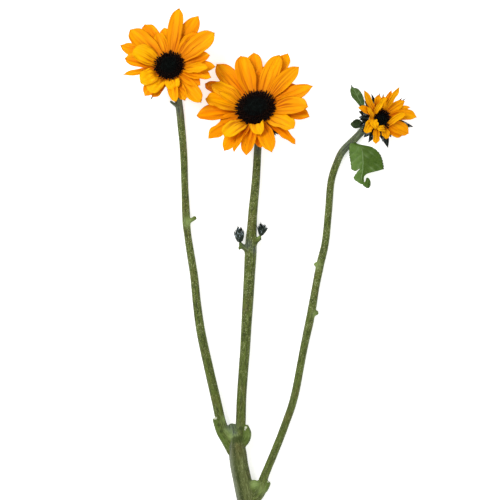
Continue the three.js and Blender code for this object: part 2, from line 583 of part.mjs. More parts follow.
// A leaf from its table: each row runs straight from one edge over the rib to the other, and the
// edges stand a little above the rib.
function leafSolid(rows, placeOf) {
  return sheet(rows.map(([along, left, right, rib, height, lag = 0]) => {
    const row = [];
    for (let c = -LEAF_COLUMNS; c <= LEAF_COLUMNS; c += 1) {
      const share = Math.abs(c) / LEAF_COLUMNS;
      const out = share * ((c < 0 ? left : right) - rib);
      const ahead = c < 0 ? lag * share : 0;
      row.push(placeOf(along - ahead, rib + out, height + LEAF_FOLD * Math.abs(out)));
    }
    return row;
  }), LEAF_THICKNESS);
}

const rowsAlongY = (y, x, z) => new THREE.Vector3(x, y, z);
const rowsAlongX = (x, y, z) => new THREE.Vector3(x, y, z);

// A closed bud: an egg in a coat of narrow bracts whose points stand past its tip.
function budGroup(name, bud) {
  const egg = [];
  for (let k = 0; k <= EGG_STEPS; k += 1) {
    const turn = (k / EGG_STEPS) * Math.PI;
    const radius = k % EGG_STEPS ? bud.radius * Math.sin(turn) ** EGG_FULLNESS : 0;
    egg.push(new THREE.Vector2(radius, (bud.length / 2) * (1 - Math.cos(turn))));
  }
  const solids = [solidOf(standing(new THREE.LatheGeometry(egg, BUD_SIDES)))];
  const root = BUD_BRACT_ROOT;
  for (let k = 0; k < BUD_BRACTS; k += 1) {
    const reach = bud.spike * (1 - BUD_RAGGED * Math.abs(chance(k + 7)));
    const width = bud.radius * BUD_BRACT_WIDTH;
    const rise = BUD_BRACT_RISE.middle + BUD_BRACT_RISE.vary * chance(k + 20);
    const row = [(360 * k) / BUD_BRACTS, reach, width, rise, bud.curl];
    const grid = bladeGrid(row, bud.radius * root.radius, bud.radius * root.height, BUD_BRACT);
    solids.push(sheet(grid, BRACT_THICKNESS));
  }
  const group = new THREE.Group();
  group.position.set(...bud.base);
  group.quaternion.setFromUnitVectors(UP, direction(bud.rise, bud.towards));
  group.add(meshOf(name, fused(solids), MATERIALS.bud));
  return group;
}

// ---- The whole flower ----

// A unit vector rising by one angle and pointing in plan along another.
function direction(rise, towards) {
  const [up, round] = [radians(rise), radians(towards)];
  return new THREE.Vector3(Math.cos(up) * Math.cos(round), Math.cos(up) * Math.sin(round), Math.sin(up));
}

for (const head of Object.values(HEADS)) {
  head.place = new THREE.Vector3(...head.centre);
  head.axis = direction(90 - head.lean, head.towards);
}

const roomForStem = stemSolid(CLEARANCE);
const LEAVES = {
  torn_leaf: fused([leafSolid(TORN_LEAF, rowsAlongY), leafSolid(CURLED_TIP, rowsAlongY)]),
  upper_leaf: leafSolid(UPPER_LEAF, rowsAlongY),
  side_leaf: leafSolid(SIDE_LEAF, rowsAlongX),
};

const flower = new THREE.Group();
flower.position.set(LAYOUT_SHIFT.x, LAYOUT_SHIFT.y, 0);
flower.add(meshOf("stem", stemSolid().subtract(underTable()), MATERIALS.stalk));
for (const [name, head] of Object.entries(HEADS)) flower.add(headGroup(name, head));
for (const [name, leaf] of Object.entries(LEAVES)) {
  flower.add(meshOf(name, fused([leaf.subtract(roomForStem)]), MATERIALS.leaf));
}
for (const [name, bud] of Object.entries(BUDS)) flower.add(budGroup(name, bud));

export default flower;
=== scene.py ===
"""The looks of a cut sunflower that lies on a table with its three heads up: its stalk, petals,
florets, bracts, leaves, buds and hairs, each in the place of the plain solid of the same part.

Tables and sizes are in millimetres and degrees, laid out from a point beside the buds. SHIFT
moves that point to its place, and the meshes are made in metres.
"""

import math
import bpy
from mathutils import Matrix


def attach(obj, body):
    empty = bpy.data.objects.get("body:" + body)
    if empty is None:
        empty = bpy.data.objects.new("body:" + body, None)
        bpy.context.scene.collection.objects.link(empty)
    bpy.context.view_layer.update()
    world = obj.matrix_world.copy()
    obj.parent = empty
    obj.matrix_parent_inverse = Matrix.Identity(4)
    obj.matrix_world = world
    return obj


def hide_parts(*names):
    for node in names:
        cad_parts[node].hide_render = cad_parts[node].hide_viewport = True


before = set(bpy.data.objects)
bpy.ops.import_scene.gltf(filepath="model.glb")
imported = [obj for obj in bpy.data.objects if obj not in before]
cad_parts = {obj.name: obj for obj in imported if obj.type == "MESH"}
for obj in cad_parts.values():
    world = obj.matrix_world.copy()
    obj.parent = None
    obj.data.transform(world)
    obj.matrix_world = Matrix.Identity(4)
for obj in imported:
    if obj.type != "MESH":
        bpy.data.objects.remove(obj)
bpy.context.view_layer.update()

from types import SimpleNamespace as Sizes

import bpy
import numpy as np
from mathutils import Vector

# ---- Sizes and places ----

MM = 0.001
SHIFT = np.array([-20.5, 30.5, 0.0])
UP = np.array([0.0, 0.0, 1.0])

# Stalks: rows of [x, y, height of the centre line, diameter].
MAIN_STALK = [
    [5, -327, 9.6, 20.5], [1, -302, 10.4, 20.5], [-4, -275, 11.3, 20.5], [-8.4, -253, 12.1, 20.3],
    [-11.8, -236, 12.8, 20], [-14, -219, 13.4, 19], [-16.5, -205, 13.8, 13],
]
LEFT_BRANCH = [
    [-14, -228, 13.2, 10], [-21, -210, 13.2, 12], [-30.5, -193, 12.6, 11],
    [-36.7, -167, 11.8, 10.6], [-45.8, -128, 10.5, 10.2], [-54, -90, 9.3, 9.8],
    [-58.5, -58, 8.3, 9.2], [-61.5, -29, 7.4, 8.8], [-65.5, -4, 6.7, 8.4], [-68.8, 18, 6.2, 8],
    [-70.1, 33, 5.9, 9], [-71.7, 68, 5.3, 7.8], [-73.2, 108, 4.5, 8], [-76.5, 145, 3.85, 8.4],
]
MIDDLE_BRANCH = [
    [-13, -226, 13.3, 10], [-10.6, -200, 12.9, 11], [-9.4, -165, 12, 10.6],
    [-7.6, -137, 11.4, 10.7], [-5.5, -110, 10.9, 11], [-3.9, -82, 10.4, 11.4], [-2.2, -55, 10, 12],
    [-0.6, -27, 9.5, 12.4], [0.6, -5, 9, 13.2], [1.2, 10, 8.7, 12.6], [2.2, 27, 8.1, 10.6],
    [3.3, 44, 7.6, 10], [5.5, 66, 6.9, 9.4], [7.2, 88, 6.3, 8.8], [8.3, 108, 5.8, 8.4],
]
RIGHT_BRANCH = [
    [-5, -279, 11.3, 12], [5.5, -271.5, 12, 14.5], [12, -262.5, 12.3, 13], [14.8, -252, 12.1, 9.8],
    [19, -241, 11.7, 8.9], [27, -222, 11.1, 8.7], [38.5, -192.5, 10.3, 8.5], [49, -160.5, 9.5, 8.6],
    [59, -109, 8.3, 8.4], [66.5, -74, 7.6, 9.3], [72.4, -40.5, 7, 8.3], [77.3, -16, 6.5, 8.9],
    [83, 9, 5.9, 8.1], [86.5, 43, 5.3, 8], [89.5, 76, 4.6, 8], [96.8, 98.6, 4.1, 8],
    [103, 110, 3.85, 8.2], [115, 122, 3.75, 8.2],
]
# Cut leaf stalks and other stubs, the first row inside a stalk.
STUBS = [
    [[-20, -223, 13.5, 9], [-26.5, -211, 14.2, 8.6], [-33.5, -200, 14.8, 7],
     [-38.4, -186, 15.4, 5.6]],
    [[-9.5, -215, 13.5, 9], [-4.6, -208, 15, 9.4], [-2.8, -201, 16.2, 8.6], [-4.4, -194, 17, 6.4]],
    [[8, -268, 12.4, 10], [15.2, -262.5, 13.2, 9.2], [19.4, -256, 14, 7.2]],
    [[-70, 30, 6.5, 5], [-65, 32.5, 7.6, 5], [-60.5, 35.5, 8.6, 4.6]],
    [[67, -71, 7.6, 7], [73.6, -69, 8.7, 5.6]],
    [[77, -17, 6.7, 7], [71.5, -15.5, 8, 4.6]],
    [[-80, 158, 6, 4], [-87.5, 163.5, 8, 2.6]],
    [[-3, 0, 10.3, 7], [-7.6, 3.6, 11.3, 5.8], [-10.6, 7.4, 11.8, 4.4]],
    [[-9, 5.5, 11.5, 3.8], [-11.4, 3, 11.8, 3.2], [-11.6, 0.6, 11.7, 2.6]],
    [[4, 5, 10.3, 6.4], [8, 10.8, 11.5, 4.8], [11.2, 15.2, 12, 3.8]],
    [[4.5, 8, 10.8, 4.4], [9, 10.2, 11.8, 3.6], [12, 12, 12.2, 3]],
    [[-15, -222, 13, 14], [-17.5, -208, 13, 13], [-19.2, -198.5, 12.8, 11],
     [-19.9, -193.5, 12.4, 8.5]],
    [[-2, -262, 12.6, 12.5], [4.5, -259, 13, 13], [8.5, -258.2, 13, 10]],
]
# Where the stalk is smoother because stalks and stubs grow together: rows of [x, y, height, reach].
JOINTS = [
    [-17, -215, 13, 9], [-8, -208, 14, 6], [7, -266, 12, 9], [-67, 31, 6.5, 7], [69, -72, 7.8, 7],
    [75, -16, 6.6, 7], [-5, 3, 10, 9], [7, 9, 10.5, 9],
]
# Patches of other colours on it, by the same kind of row: fresh green, partly a painted
# highlight on a stub's end; dark scars, partly painted shade in the creases where stalks and
# stubs meet; grey dust and the pale pith that shows in torn stubs.
PATCHES = {
    "fresh_and_highlight": [
        [-24, -198, 17, 4], [-20.5, -204, 18, 4], [5, -257, 18, 5], [13, -264, 15, 5],
        [-67, 31, 8, 6], [71, -71, 9, 4], [73, -16, 8, 5], [-11.6, 1, 12, 1.5], [10, 14, 12, 2],
        [-16, -203, 19, 3], [-1, -203, 17, 3], [-27, -185, 17, 4],
    ],
    "scar_and_shade": [[-15.5, -207.8, 20, 4.2], [-10.5, -207.2, 20, 4.6], [-10, -196, 18, 2.6],
             [9, -269.5, 15, 4], [14, -268, 14, 3], [-31.5, -199, 17, 2.4], [-28, -205, 16, 2.4],
             [-34.5, -192, 17, 2.2], [-11.8, 0, 12.8, 2], [-6.5, 6.5, 14, 2.8],
             [12, 11.5, 13.4, 2], [7.5, 8, 13.5, 2.2]],
    "dust": [[-20, -194.5, 15, 6], [-17.5, -200, 18, 3.5], [106, 114, 7, 13], [119, 128, 14, 13],
             [-80, 158, 8, 12], [5, 112, 8, 9], [-3, 6, 15.5, 5], [6, 0, 14, 4]],
    "pith": [[-38.2, -184.5, 17, 2.2], [-4.6, -194.6, 20, 1.7], [-6, -197, 20.4, 1.5],
             [-7.3, -199.4, 20.6, 1.3], [20, -254, 17, 1.4]],
}

# Petals: rows of [direction round the head, length, width, rise, curl, twist, sway, bluntness,
# veer]. Rise is the slope at the root, curl the change of slope to the tip, sway the sideways bend
# and veer a turn aside at the root. Bluntness is 0 for a point, 1 for a round tip.
MIDDLE_PETALS = [
    [106, 48, 21, 20, -14, 0, 0, 0.6], [94, 53, 20, 10, -10, 0, 0, 0.6],
    [70, 49, 21, 20, -18, 0, -4, 0.6], [64, 57, 18, 6, -6, 10, 2, 0.9],
    [43, 47, 18, 24, -20, 20, 0, 0.3], [20, 47, 17, 14, -16, 20, 0, 0.1],
    [353, 41, 23, 22, -14, 0, -4, 1], [345, 42, 20, 10, -12, -10, 0, 0.8],
    [321, 40, 21, 34, -34, -15, 0, 1], [313, 46, 11, 4, -8, -20, 0, 1],
    [289, 45, 18, 14, -16, 0, 0, 0.3], [279, 30, 14, 2, -10, 0, 0, 0.8],
    [264, 44, 16, 14, -14, 0, 0, 0.8], [252, 45, 11, 22, -20, 50, 0, 0.7],
    [239, 42, 18, 6, -10, 0, 0, 0.6], [236, 38, 20, 48, -44, -10, 0, 0.9],
    [216, 42, 17, 6, -8, 0, 0, 0.9], [188, 45, 21, 12, -12, 0, -4, 0.9],
    [173, 37, 22, 36, -30, 10, -4, 0.9], [152, 38, 20, 34, -26, 20, -2, 0.7],
    [147, 49, 17, 4, -8, 0, 2, 0.9], [127, 55, 21, 14, -16, -10, 2, 0.7],
    [278, 26, 16, 84, -116, 14, 16, 0.7], [84, 34, 16, 14, -14, 0, 0, 0.6],
    [32, 32, 16, 6, -10, 0, 0, 0.6], [204, 22, 13, 14, -12, 0, 0, 0.6],
]
LEFT_PETALS = [
    [82, 52, 17, 16, -12, 0, -2, 0.7], [64, 51, 19, 8, -8, 15, -5, 0.5],
    [34, 47, 22, 20, -16, 10, 0, 0.8], [14, 31, 14, 8, -8, 0, 0, 0.8],
    [358, 36, 14, 2, -8, 0, 0, 0.5], [347, 34, 12, 34, -18, 0, 6, 0.9],
    [340, 36, 16, 18, -20, -20, 0, 0.3], [310, 43, 18, 12, -16, 0, -2, 0.9],
    [280, 33, 12, 22, -16, 20, 6, 0.6], [294, 31, 12, 12, -16, 0, 0, 0.7],
    [232, 28, 16, 4, -12, 0, 0, 0.5], [243, 24, 15, 2, -12, 0, 0, 0.8],
    [193, 37, 9, 14, -12, 30, -4, 0.2], [168, 36, 17, 12, -16, 0, 0, 0.8],
    [154, 47, 15, 6, -12, 0, 0, 0.7], [158, 31, 21, 48, -54, 0, -6, 0.9],
    [137, 46, 21, 18, -12, 0, 0, 1], [120, 43, 19, 10, -12, 0, 0, 1],
    [99, 32, 13, 6, -12, 0, 0, 0.9], [283, 18, 17, 84, -130, 0, 0, 0.9],
    [216, 25, 19, 70, -100, 0, 0, 0.9], [240, 26, 18, 66, -100, 0, 0, 0.9],
    [50, 34, 17, 14, -14, 0, 0, 0.6], [110, 27, 14, 20, -16, 0, 0, 0.6],
    [325, 28, 14, 10, -10, 0, 0, 0.6],
]
RIGHT_PETALS = [
    [134, 32, 8, 30, -26, 0, -30, 0.6, 10], [152, 23, 8, 24, -30, 0, 18, 0.8],
    [185, 19, 5.5, 40, -36, 0, 12, 0.4, -61], [116, 20, 9, 30, -22, 0, -48, 0.5],
    [162, 26, 6, 46, -38, 0, -48, 0.8, -73], [79, 25, 7, 26, -16, 0, -4, 0.6, -7],
    [64, 32, 6.5, 34, -20, 0, -12, 0.9, 7], [94, 17, 10, 36, -28, 0, 27, 0.5, -22],
    [48, 25, 10, 26, -18, 0, -13, 0.6, -8], [38, 29, 6.5, 24, -20, 0, -29, 0.1, -7],
    [15, 34, 12.5, 24, -24, 0, -44, 0.2, 8], [332, 27, 15, 22, -26, 0, -11, 0.4, 11],
    [316, 26, 7, 44, -38, 0, -43, 0.8, 103], [311, 22, 12, 16, -20, 0, 6, 0.7, 20],
    [303, 17, 7, 66, -84, 0, -12, 0.9, -112], [287, 13, 10, 34, -36, 0, -13, 0.7],
    [239, 20, 9, 28, -36, 0, 18, 0.8, 11], [199, 19, 11, 40, -60, 0, 82, 0.9, -9],
    [168, 17, 10, 64, -90, 0, 108, 0.9, 65],
]
# Bracts: the same kind of row, as far as its curl.
RIGHT_BRACTS = [
    [111, 21, 8, 12, -10], [88, 22, 7, 6, -4], [82, 20, 7, 14, -10], [41, 31, 7, 8, -2],
    [38, 31, 6, 14, -8], [10, 19, 8, 0, -6], [352, 35, 13, 2, -8], [325, 21, 9, 6, 0],
    [290, 23, 14, 0, -2], [251, 15, 11, 4, 0], [241, 20, 12, 4, -2], [227, 19, 13, -2, 4],
    [211, 18, 14, 2, 4], [196, 18, 14, -2, 8], [176, 17, 14, 2, 6], [162, 19, 14, 2, 6],
    [148, 20, 14, 2, 6], [132, 20, 10, 4, 4],
]
LONG_BRACT = [237, 30, 7, -14, 8]  # it shows below the left head's petals

# Heads: centre of the petals' roots, lean of the face from straight up, the side it leans to, the
# radius of the dark disc, how far below the roots the stalk ends, and the size of the short bracts
# on the cup, 1 for the usual. The long bracts are an even ring, given by how many they are, their
# length and width and the seed that they vary by, and a table's.
HEADS = {
    "left": Sizes(centre=[-87.7, 200.2, 34], lean=21, towards=112, disc=14.5, depth=14, spread=1,
                  stalk=LEFT_BRANCH, petals=LEFT_PETALS, ring=(13, 21, 8.5, 3),
                  bracts=[LONG_BRACT]),
    "middle": Sizes(centre=[6.5, 153.5, 39], lean=33, towards=108, disc=20, depth=17, spread=1,
                    stalk=MIDDLE_BRANCH, petals=MIDDLE_PETALS, ring=(15, 24, 9.5, 11), bracts=[]),
    "right": Sizes(centre=[142.8, 142.8, 26], lean=27, towards=5, disc=9.2, depth=11, spread=1.3,
                   stalk=RIGHT_BRANCH, petals=RIGHT_PETALS, ring=(0, 0, 0, 0), bracts=RIGHT_BRACTS),
}
PETAL_ROOT = Sizes(beyond=0.8, lower=0, upper=0.8)  # beyond the disc, and their heights
STEEP_ROOT = Sizes(rise=55, beyond=2, height=-0.6)  # for petals steeper than this rise
# The low ring that carries the petals: its inner radius as a share of the disc's, how far it
# reaches beyond the disc, its bottom and top, and how far inside its outer edge these two end.
PETAL_RING = Sizes(inner=0.6, beyond=2.6, bottom=-1.1, top=0.9, bevels=(0.6, 0.8))
# The green cup: its rim beyond the disc, its top, how far that ends inside the rim, the radius of
# its foot and its height over the stalk's end, and between them shares of the rim's radius and of
# the depth.
CUP = Sizes(beyond=2, top=-1.5, lip=0.6, foot=4.4, foot_height=0.3,
            outline=[[0.55, 0.72], [0.84, 0.44], [1, 0.2]])
# Bracts stand in an upper and a lower row by turns: the length and rise of those in an even ring,
# and for all of them the root, as shares of the rim's radius and the cup's depth.
BRACT_ROWS = [Sizes(length=1, rise=-5, out=0.84, down=0.28),
              Sizes(length=0.92, rise=-16, out=0.7, down=0.44)]
BRACT_CURL = -6
# Rings of short bracts on the cup: how many, the radius they start at, their reach and width as
# shares of the rim's radius, their depth as a share of the cup's, rise and curl.
SCALES = [[9, 0.34, 0.62, 0.46, 0.92, 34, -6], [11, 0.52, 0.66, 0.46, 0.78, 36, -14],
          [13, 0.7, 0.6, 0.46, 0.6, 38, -30], [14, 0.84, 0.98, 0.62, 0.36, 14, -18]]

# The disc is a low dome with florets on it: the heights of its foot and its edge, and at the rim
# those of its skin and of the florets' feet in it.
DOME = Sizes(foot=-1.4, edge=0.3, rim=1.5, feet=1.3)
DOME_SHARES = (0.99, 0.93, 0.8, 0.6, 0.4, 0.2, 0.05)  # of the radius, from the rim to the middle
DISC_CROWN = 0.25  # how much its middle stands over the rim, as a share of the radius
FLORET_SPACING = 1.7
FRINGE_SPACING = 1.9
OPEN_FLORETS = 0.66  # from this share of the radius outwards the florets are open
# Florets: length, half width as a share of the spacing, lean outwards and disorder, and what the
# open ones and the fringe's, whose length is a share of the disc's radius, have on top.
FLORET = Sizes(length=2.0, width=0.52, disorder=0.4)
OPENED = Sizes(length=1.5, width=-0.16, disorder=1.3, lean=0.8)
FRINGE = Sizes(length=0.09, width=-0.1, lean=0.5)
# Their outlines: rows of shares of the length and of the half width.
CLOSED_OUTLINE = [[0, 0.8], [0.45, 1], [0.78, 0.8], [0.95, 0.4], [1, 0.12]]
OPEN_OUTLINE = [[0, 0.9], [0.4, 0.85], [0.62, 1.1], [0.82, 0.6], [1, 0.08]]
GOLDEN_TURN = math.pi * (3 - math.sqrt(5))

# Leaves by rows from base to tip: [y, left edge, right edge, middle rib, height, lag], all at x.
# Lag is how much further along the left edge lies than the rib, 0 where it isn't given. The
# curled tip is part of the torn leaf.
TORN_LEAF = [
    [119, 111.5, 116, 114, 4.5], [116.5, 110, 120, 114.5, 9], [113.5, 109, 133.5, 121, 10.2],
    [108, 109, 141, 123.5, 11], [101, 109.5, 145, 124, 11.4], [94.8, 110.8, 146.4, 124.4, 11],
    [94.3, 110.8, 146.5, 124.3, 10.97, 2.8], [93.9, 111.4, 146.6, 124.2, 10.94, 5.2],
    [93.6, 116, 146.7, 124.1, 10.91, 6.8], [93.2, 120.6, 146.8, 124, 10.87, 3.8],
    [89, 119.4, 146.8, 124, 10.4, 1.4], [87.6, 118.6, 143, 123.8, 10.2, 0.6],
    [86.2, 117.9, 137.4, 123.8, 9.9], [84.8, 117.2, 132, 123.6, 9.6],
    [83.4, 116, 128.2, 123.2, 9.2], [80.8, 114.4, 125.8, 122.8, 8.5],
    [78.5, 114.1, 125.5, 122.6, 8.1], [76, 116.6, 125.6, 122.8, 7.5], [74, 119.6, 126, 123.4, 7],
    [72.4, 122.6, 126, 124.4, 6.6],
]
CURLED_TIP = [
    [79.6, 128.4, 129.9, 129.2, 8.6], [78.2, 127.6, 131.6, 129.6, 9],
    [75.6, 126.8, 132.7, 129.6, 9], [73, 124.4, 132.9, 128.8, 8.2], [70.6, 125, 132.6, 129, 7],
    [68.2, 128.6, 131, 129.8, 5.8],
]
UPPER_LEAF = [
    [131, 124, 128, 126, 8], [138.5, 123.2, 126.2, 124.7, 13.5], [145, 122.6, 126, 124.3, 15.5],
    [151.5, 122.2, 126, 124.1, 16.6], [157, 120.8, 125.8, 123.4, 17.4],
    [160.5, 118.2, 125.6, 122, 17.8], [164, 115.2, 125.2, 120.4, 18],
    [167.6, 112, 124.4, 118.4, 18], [171, 110.6, 123, 116.8, 17.8],
    [175.4, 109.9, 120.2, 114.4, 17], [177.4, 110.4, 117.6, 113, 16.4],
    [178.4, 110.8, 114.4, 112.4, 15.8], [179.4, 111, 112.8, 111.9, 15.2],
    [181.6, 111.1, 111.9, 111.5, 14],
]
# The side leaf runs along x: [x, lower edge, upper edge, middle rib, height], all at y.
SIDE_LEAF = [
    [132, 136.5, 139.5, 138, 10.5], [127, 135.8, 139.6, 137.8, 9.6], [123, 134.8, 141.6, 138, 9],
    [119.2, 134.2, 144, 138.6, 8.6], [115.5, 133.8, 143.6, 138.7, 8],
    [112.8, 135.4, 141.4, 138.6, 7.2], [110.6, 138.2, 139.2, 138.7, 6.4],
]
# The four blades: the node each stands for, its table, the axis it runs along, the distance
# between side veins, how deep the edge's teeth are as a share of the half width, and the name of
# its finish with the colours of one half, the other, darker by painted shade, the veins and the
# point.
LEAVES = {
    "torn_leaf_blade": ("torn_leaf", TORN_LEAF, "y", 8.5, 0.045,
                        ("torn_leaf_green", "5d7e36", "3f5c12", "8ba473", "5d7e36")),
    "torn_leaf_tip": ("torn_leaf", CURLED_TIP, "y", 6, 0.03,
                      ("leaf_tip_green", "3f5c14", "33500a", "6a8a40", "33480c")),
    "upper_leaf_blade": ("upper_leaf", UPPER_LEAF, "y", 6, 0.03,
                         ("upper_leaf_green", "425e26", "3f5a26", "86a070", "3a4a35")),
    "side_leaf_blade": ("side_leaf", SIDE_LEAF, "x", 4, 0.03,
                        ("side_leaf_green", "14220a", "0e1806", "33462a", "3a4a35")),
}
LEAF_COLUMNS = 44
TOOTH = 3.1  # from one tooth of a leaf's edge to the next
LEAF_FOLD = 0.1  # how far a leaf's edges stand above its rib, as a share of the distance
LEAF_HALF = 0.25  # half its thickness
LEAF_SWELL = 0.35  # how far it swells between two side veins
VEIN_DEPTH = 0.18
RIPPLE = 0.1
RIB = Sizes(width=0.55, groove=0.35, under=0.7)  # how deep above, and how thick underneath

# Buds: the base, the direction they point in plan, their rise, the radius and length of the egg
# inside, the length of the longest bract, and how far the bracts curl inwards.
BUDS = {
    "left_bud": Sizes(base=[-11, 8.1, 12], towards=94, rise=14, radius=3.6, length=12, spike=18,
                      curl=28),
    "right_bud": Sizes(base=[11.6, 15.6, 12.1], towards=75, rise=12, radius=2.9, length=8,
                       spike=14.5, curl=6),
}
# Their coats of bracts, from the outer in: how many, their rise, their length as a share of the
# longest, the radius and height of their roots in radii of the egg, and what they curl less.
BUD_COATS = [(7, 62, 1.0, 0.7, 0.45, 0), (7, 70, 0.84, 0.6, 0.85, 6), (6, 78, 0.7, 0.5, 1.25, 12)]
COAT_TURN = 0.33  # how far each coat is turned on, as a share of the way to the next bract
BUD_BRACT_WIDTH = 1.7  # in radii of the egg
BUD_RAGGED = 0.36  # how much shorter than the longest of its coat a bract may be
EGG = Sizes(radius=0.92, fullness=0.8, pole=0.12)  # a power under 1 makes its outline fuller

# Blades: how many rings and columns of corners, the thickness, and how far the edges stand above
# the middle, as a share of the half width. A petal's rings are a little denser at the tip, and it
# runs on inwards from its root by its claw.
PETAL = dict(rings=34, columns=24, thickness=0.36, cup=0.2, bunch=0.92, claw=3)
BRACT = dict(rings=22, columns=10, thickness=0.5, cup=0.12)
SCALE = dict(rings=16, columns=8, thickness=0.5, cup=0.18)
BUD_BRACT = dict(rings=16, columns=8, thickness=0.45, cup=0.25)
BLADE_STEPS = 80  # in which a blade's bend is added up
LEAST_HALF_WIDTH = 0.12
# Their relief. A furrow's place and half width are shares of the blade's half width, and so are
# the heights of the folds and the crease.
FURROW = Sizes(out=0.28, vary=0.2, drift=0.06, width=0.11, depth=0.45)
PETAL_RELIEF = Sizes(ribs=0.08, folds=0.1, crease=0.09)
BRACT_RELIEF = Sizes(ridge=0.5, width=0.16, ribs=0.1, wave=0.5)
BUD_RIDGE = Sizes(ridge=0.3, width=0.25)

STEPS = Sizes(stalk=12, stub=8, leaf=10, cup=5)  # between two rows of a table
SIDES = Sizes(cup=60, disc=48, bud=24, stalk=28, floret=6)  # corners round each

# Hairs: how many on each piece, their length and width, and the share they may lean by.
HAIRS = {
    "stalk": dict(count=9000, length=0.9, width=0.08, lean=0.6),
    "bract": dict(count=1100, length=1.5, width=0.09, lean=0.7),
    "bud": dict(count=220, length=1.2, width=0.08, lean=0.7),
}
HAIR_ROOT = 0.15  # how deep a hair stands in the skin
LOWEST_HAIR = 0.3  # the least height of its tip
ASKEW = [0.31, 0.53, 0.79]  # a direction that hardly any axis has
NOT_ZERO = 1e-12  # keeps the length of a sum of normals above 0

NECK_HANDLE = 0.42  # how gently a stalk bends up into its head, as a share of the distance
ROUND_END = 0.7  # how far a stub's round end stands out, as a share of its radius
VOXEL = 0.62  # of the remesh that makes one skin of the stalks
# How far each point moves to the middle of those beside it, as a share, and how many times.
SMOOTHING = Sizes(all=(0.35, 3), joints=(0.5, 26))
RIDGES = Sizes(coarse=(0.09, 9), fine=(0.07, 23))  # height, and how many round a stalk
GRAIN = Sizes(round=3, along=0.06, apart=7)  # its noise is drawn out along the stalk
SPECKLED = (-190, -60)  # from the first to the second y the stalks become more speckled
DARK_BAND = (1.2, 0.22)  # along the main stalk: radians up from its left side, and half width

# Lights, by place, size and power, the floor, the sky and the camera.
LIGHTS = {"key_light": ((-1.2, 0.9, 2.1), 1.0, 40), "fill_light": ((1.3, -0.7, 2.2), 2.2, 15)}
SKY_GLOW = 0.46
FLOOR_GLOW = 0.6  # a white table lit from below, so that shadows on it stay faint
FLOOR_REACH = 30.0
VIEW_HEIGHT = 3.0
FRAME_WIDTH = 0.552  # of what the camera sees on the table
SENSOR = 36

# ---- Small helpers ----


def chance(seed):
    """The same number from -1 to 1 for the same seed: the fraction of a large sine, doubled."""
    wave = math.sin(seed * 12.9898) * 43758.5453
    return 2 * (wave - math.floor(wave)) - 1


def vary(share, seed):
    """A factor of 1, more or less by up to a share."""
    return 1 + share * chance(seed)


def unit(vectors):
    """Vectors, along the last axis, scaled to length 1."""
    return vectors / np.linalg.norm(vectors, axis=-1, keepdims=True)


def smooth(value, low, high):
    """0 below low, 1 above high, and an S between them: 3t² - 2t³."""
    t = np.clip((value - low) / (high - low), 0, 1)
    return t * t * (3 - 2 * t)


def bell(off):
    """1 in the middle, and a bell curve around."""
    return np.exp(-(off**2))


def direction(rise, towards):
    """The unit vector that rises by one angle and points in plan along another."""
    up, turn = math.radians(rise), math.radians(towards)
    return np.array([math.cos(up) * math.cos(turn), math.cos(up) * math.sin(turn), math.sin(up)])


def stood_along(axis):
    """The matrix of the shortest turn that takes straight up to an axis, by Rodrigues' formula."""
    x, y, z = np.cross(UP, axis)
    skew = np.array([[0, -z, y], [z, 0, -x], [-y, x, 0]])
    return np.eye(3) + skew + skew @ skew / (1 + axis[2])


def through(rows, steps):
    """A smooth line through a table's rows, with so many steps between two rows: the cubic whose
    slope at each row is half the way between the rows beside it."""
    rows = np.array(rows, float)
    padded = np.vstack([2 * rows[0] - rows[1], rows, 2 * rows[-1] - rows[-2]])
    place = np.linspace(0, len(rows) - 1, (len(rows) - 1) * steps + 1)
    row = np.minimum(place.astype(int), len(rows) - 2)
    t = (place - row)[:, None]
    a, b, c, d = (padded[row + k] for k in range(4))
    cubic = (3 * b - a - 3 * c + d) * t**3 + (2 * a - 5 * b + 4 * c - d) * t**2
    return (cubic + (c - a) * t + 2 * b) / 2


def reaches(line):
    """How far along a line each of its points lies."""
    return np.append(0, np.cumsum(np.linalg.norm(np.diff(line[:, :3], axis=0), axis=1)))


def add(name, data):
    """A new object in the scene."""
    made = bpy.data.objects.new(name, data)
    bpy.context.scene.collection.objects.link(made)
    return made


def add_mesh(name, points, faces):
    """A new object with a mesh of these points and faces."""
    mesh = bpy.data.meshes.new(name)
    mesh.from_pydata(points, [], faces)
    return add(name, mesh)


# ---- Shapes ----


class Shape:
    """Points, the quads and triangles between them, and marks: numbers or vectors for the
    points, by name, that a finish reads."""

    def __init__(self, points, quads, triangles, marks):
        self.points = points
        self.quads = quads
        self.triangles = triangles
        self.marks = marks

    def placed(self, turn, place):
        """The shape turned by a matrix, and then moved."""
        return Shape(self.points @ turn.T + place, self.quads, self.triangles, self.marks)

    def faces(self):
        """All its faces, as a mesh takes them."""
        return self.quads.tolist() + self.triangles.tolist()

    def corners(self):
        """All its faces as triangles."""
        halves = [self.quads[:, [0, 1, 2]], self.quads[:, [0, 2, 3]]]
        return np.concatenate([*halves, self.triangles])

    def crosses(self):
        """The normals of these triangles, each as long as twice its area."""
        a, b, c = self.points[self.corners()].transpose(1, 0, 2)
        return np.cross(b - a, c - a)


def joined(*shapes):
    """Several shapes as one. A mark that only some of them carry is 0 on the rest."""
    starts = np.cumsum([0] + [len(shape.points) for shape in shapes])
    kinds = {name: values.shape[1:] for shape in shapes for name, values in shape.marks.items()}
    return Shape(
        np.concatenate([shape.points for shape in shapes]),
        np.concatenate([shape.quads + start for shape, start in zip(shapes, starts)]),
        np.concatenate([shape.triangles + start for shape, start in zip(shapes, starts)]),
        {name: np.concatenate([
            shape.marks.get(name, np.zeros((len(shape.points), *kind))) for shape in shapes
        ]) for name, kind in kinds.items()},
    )


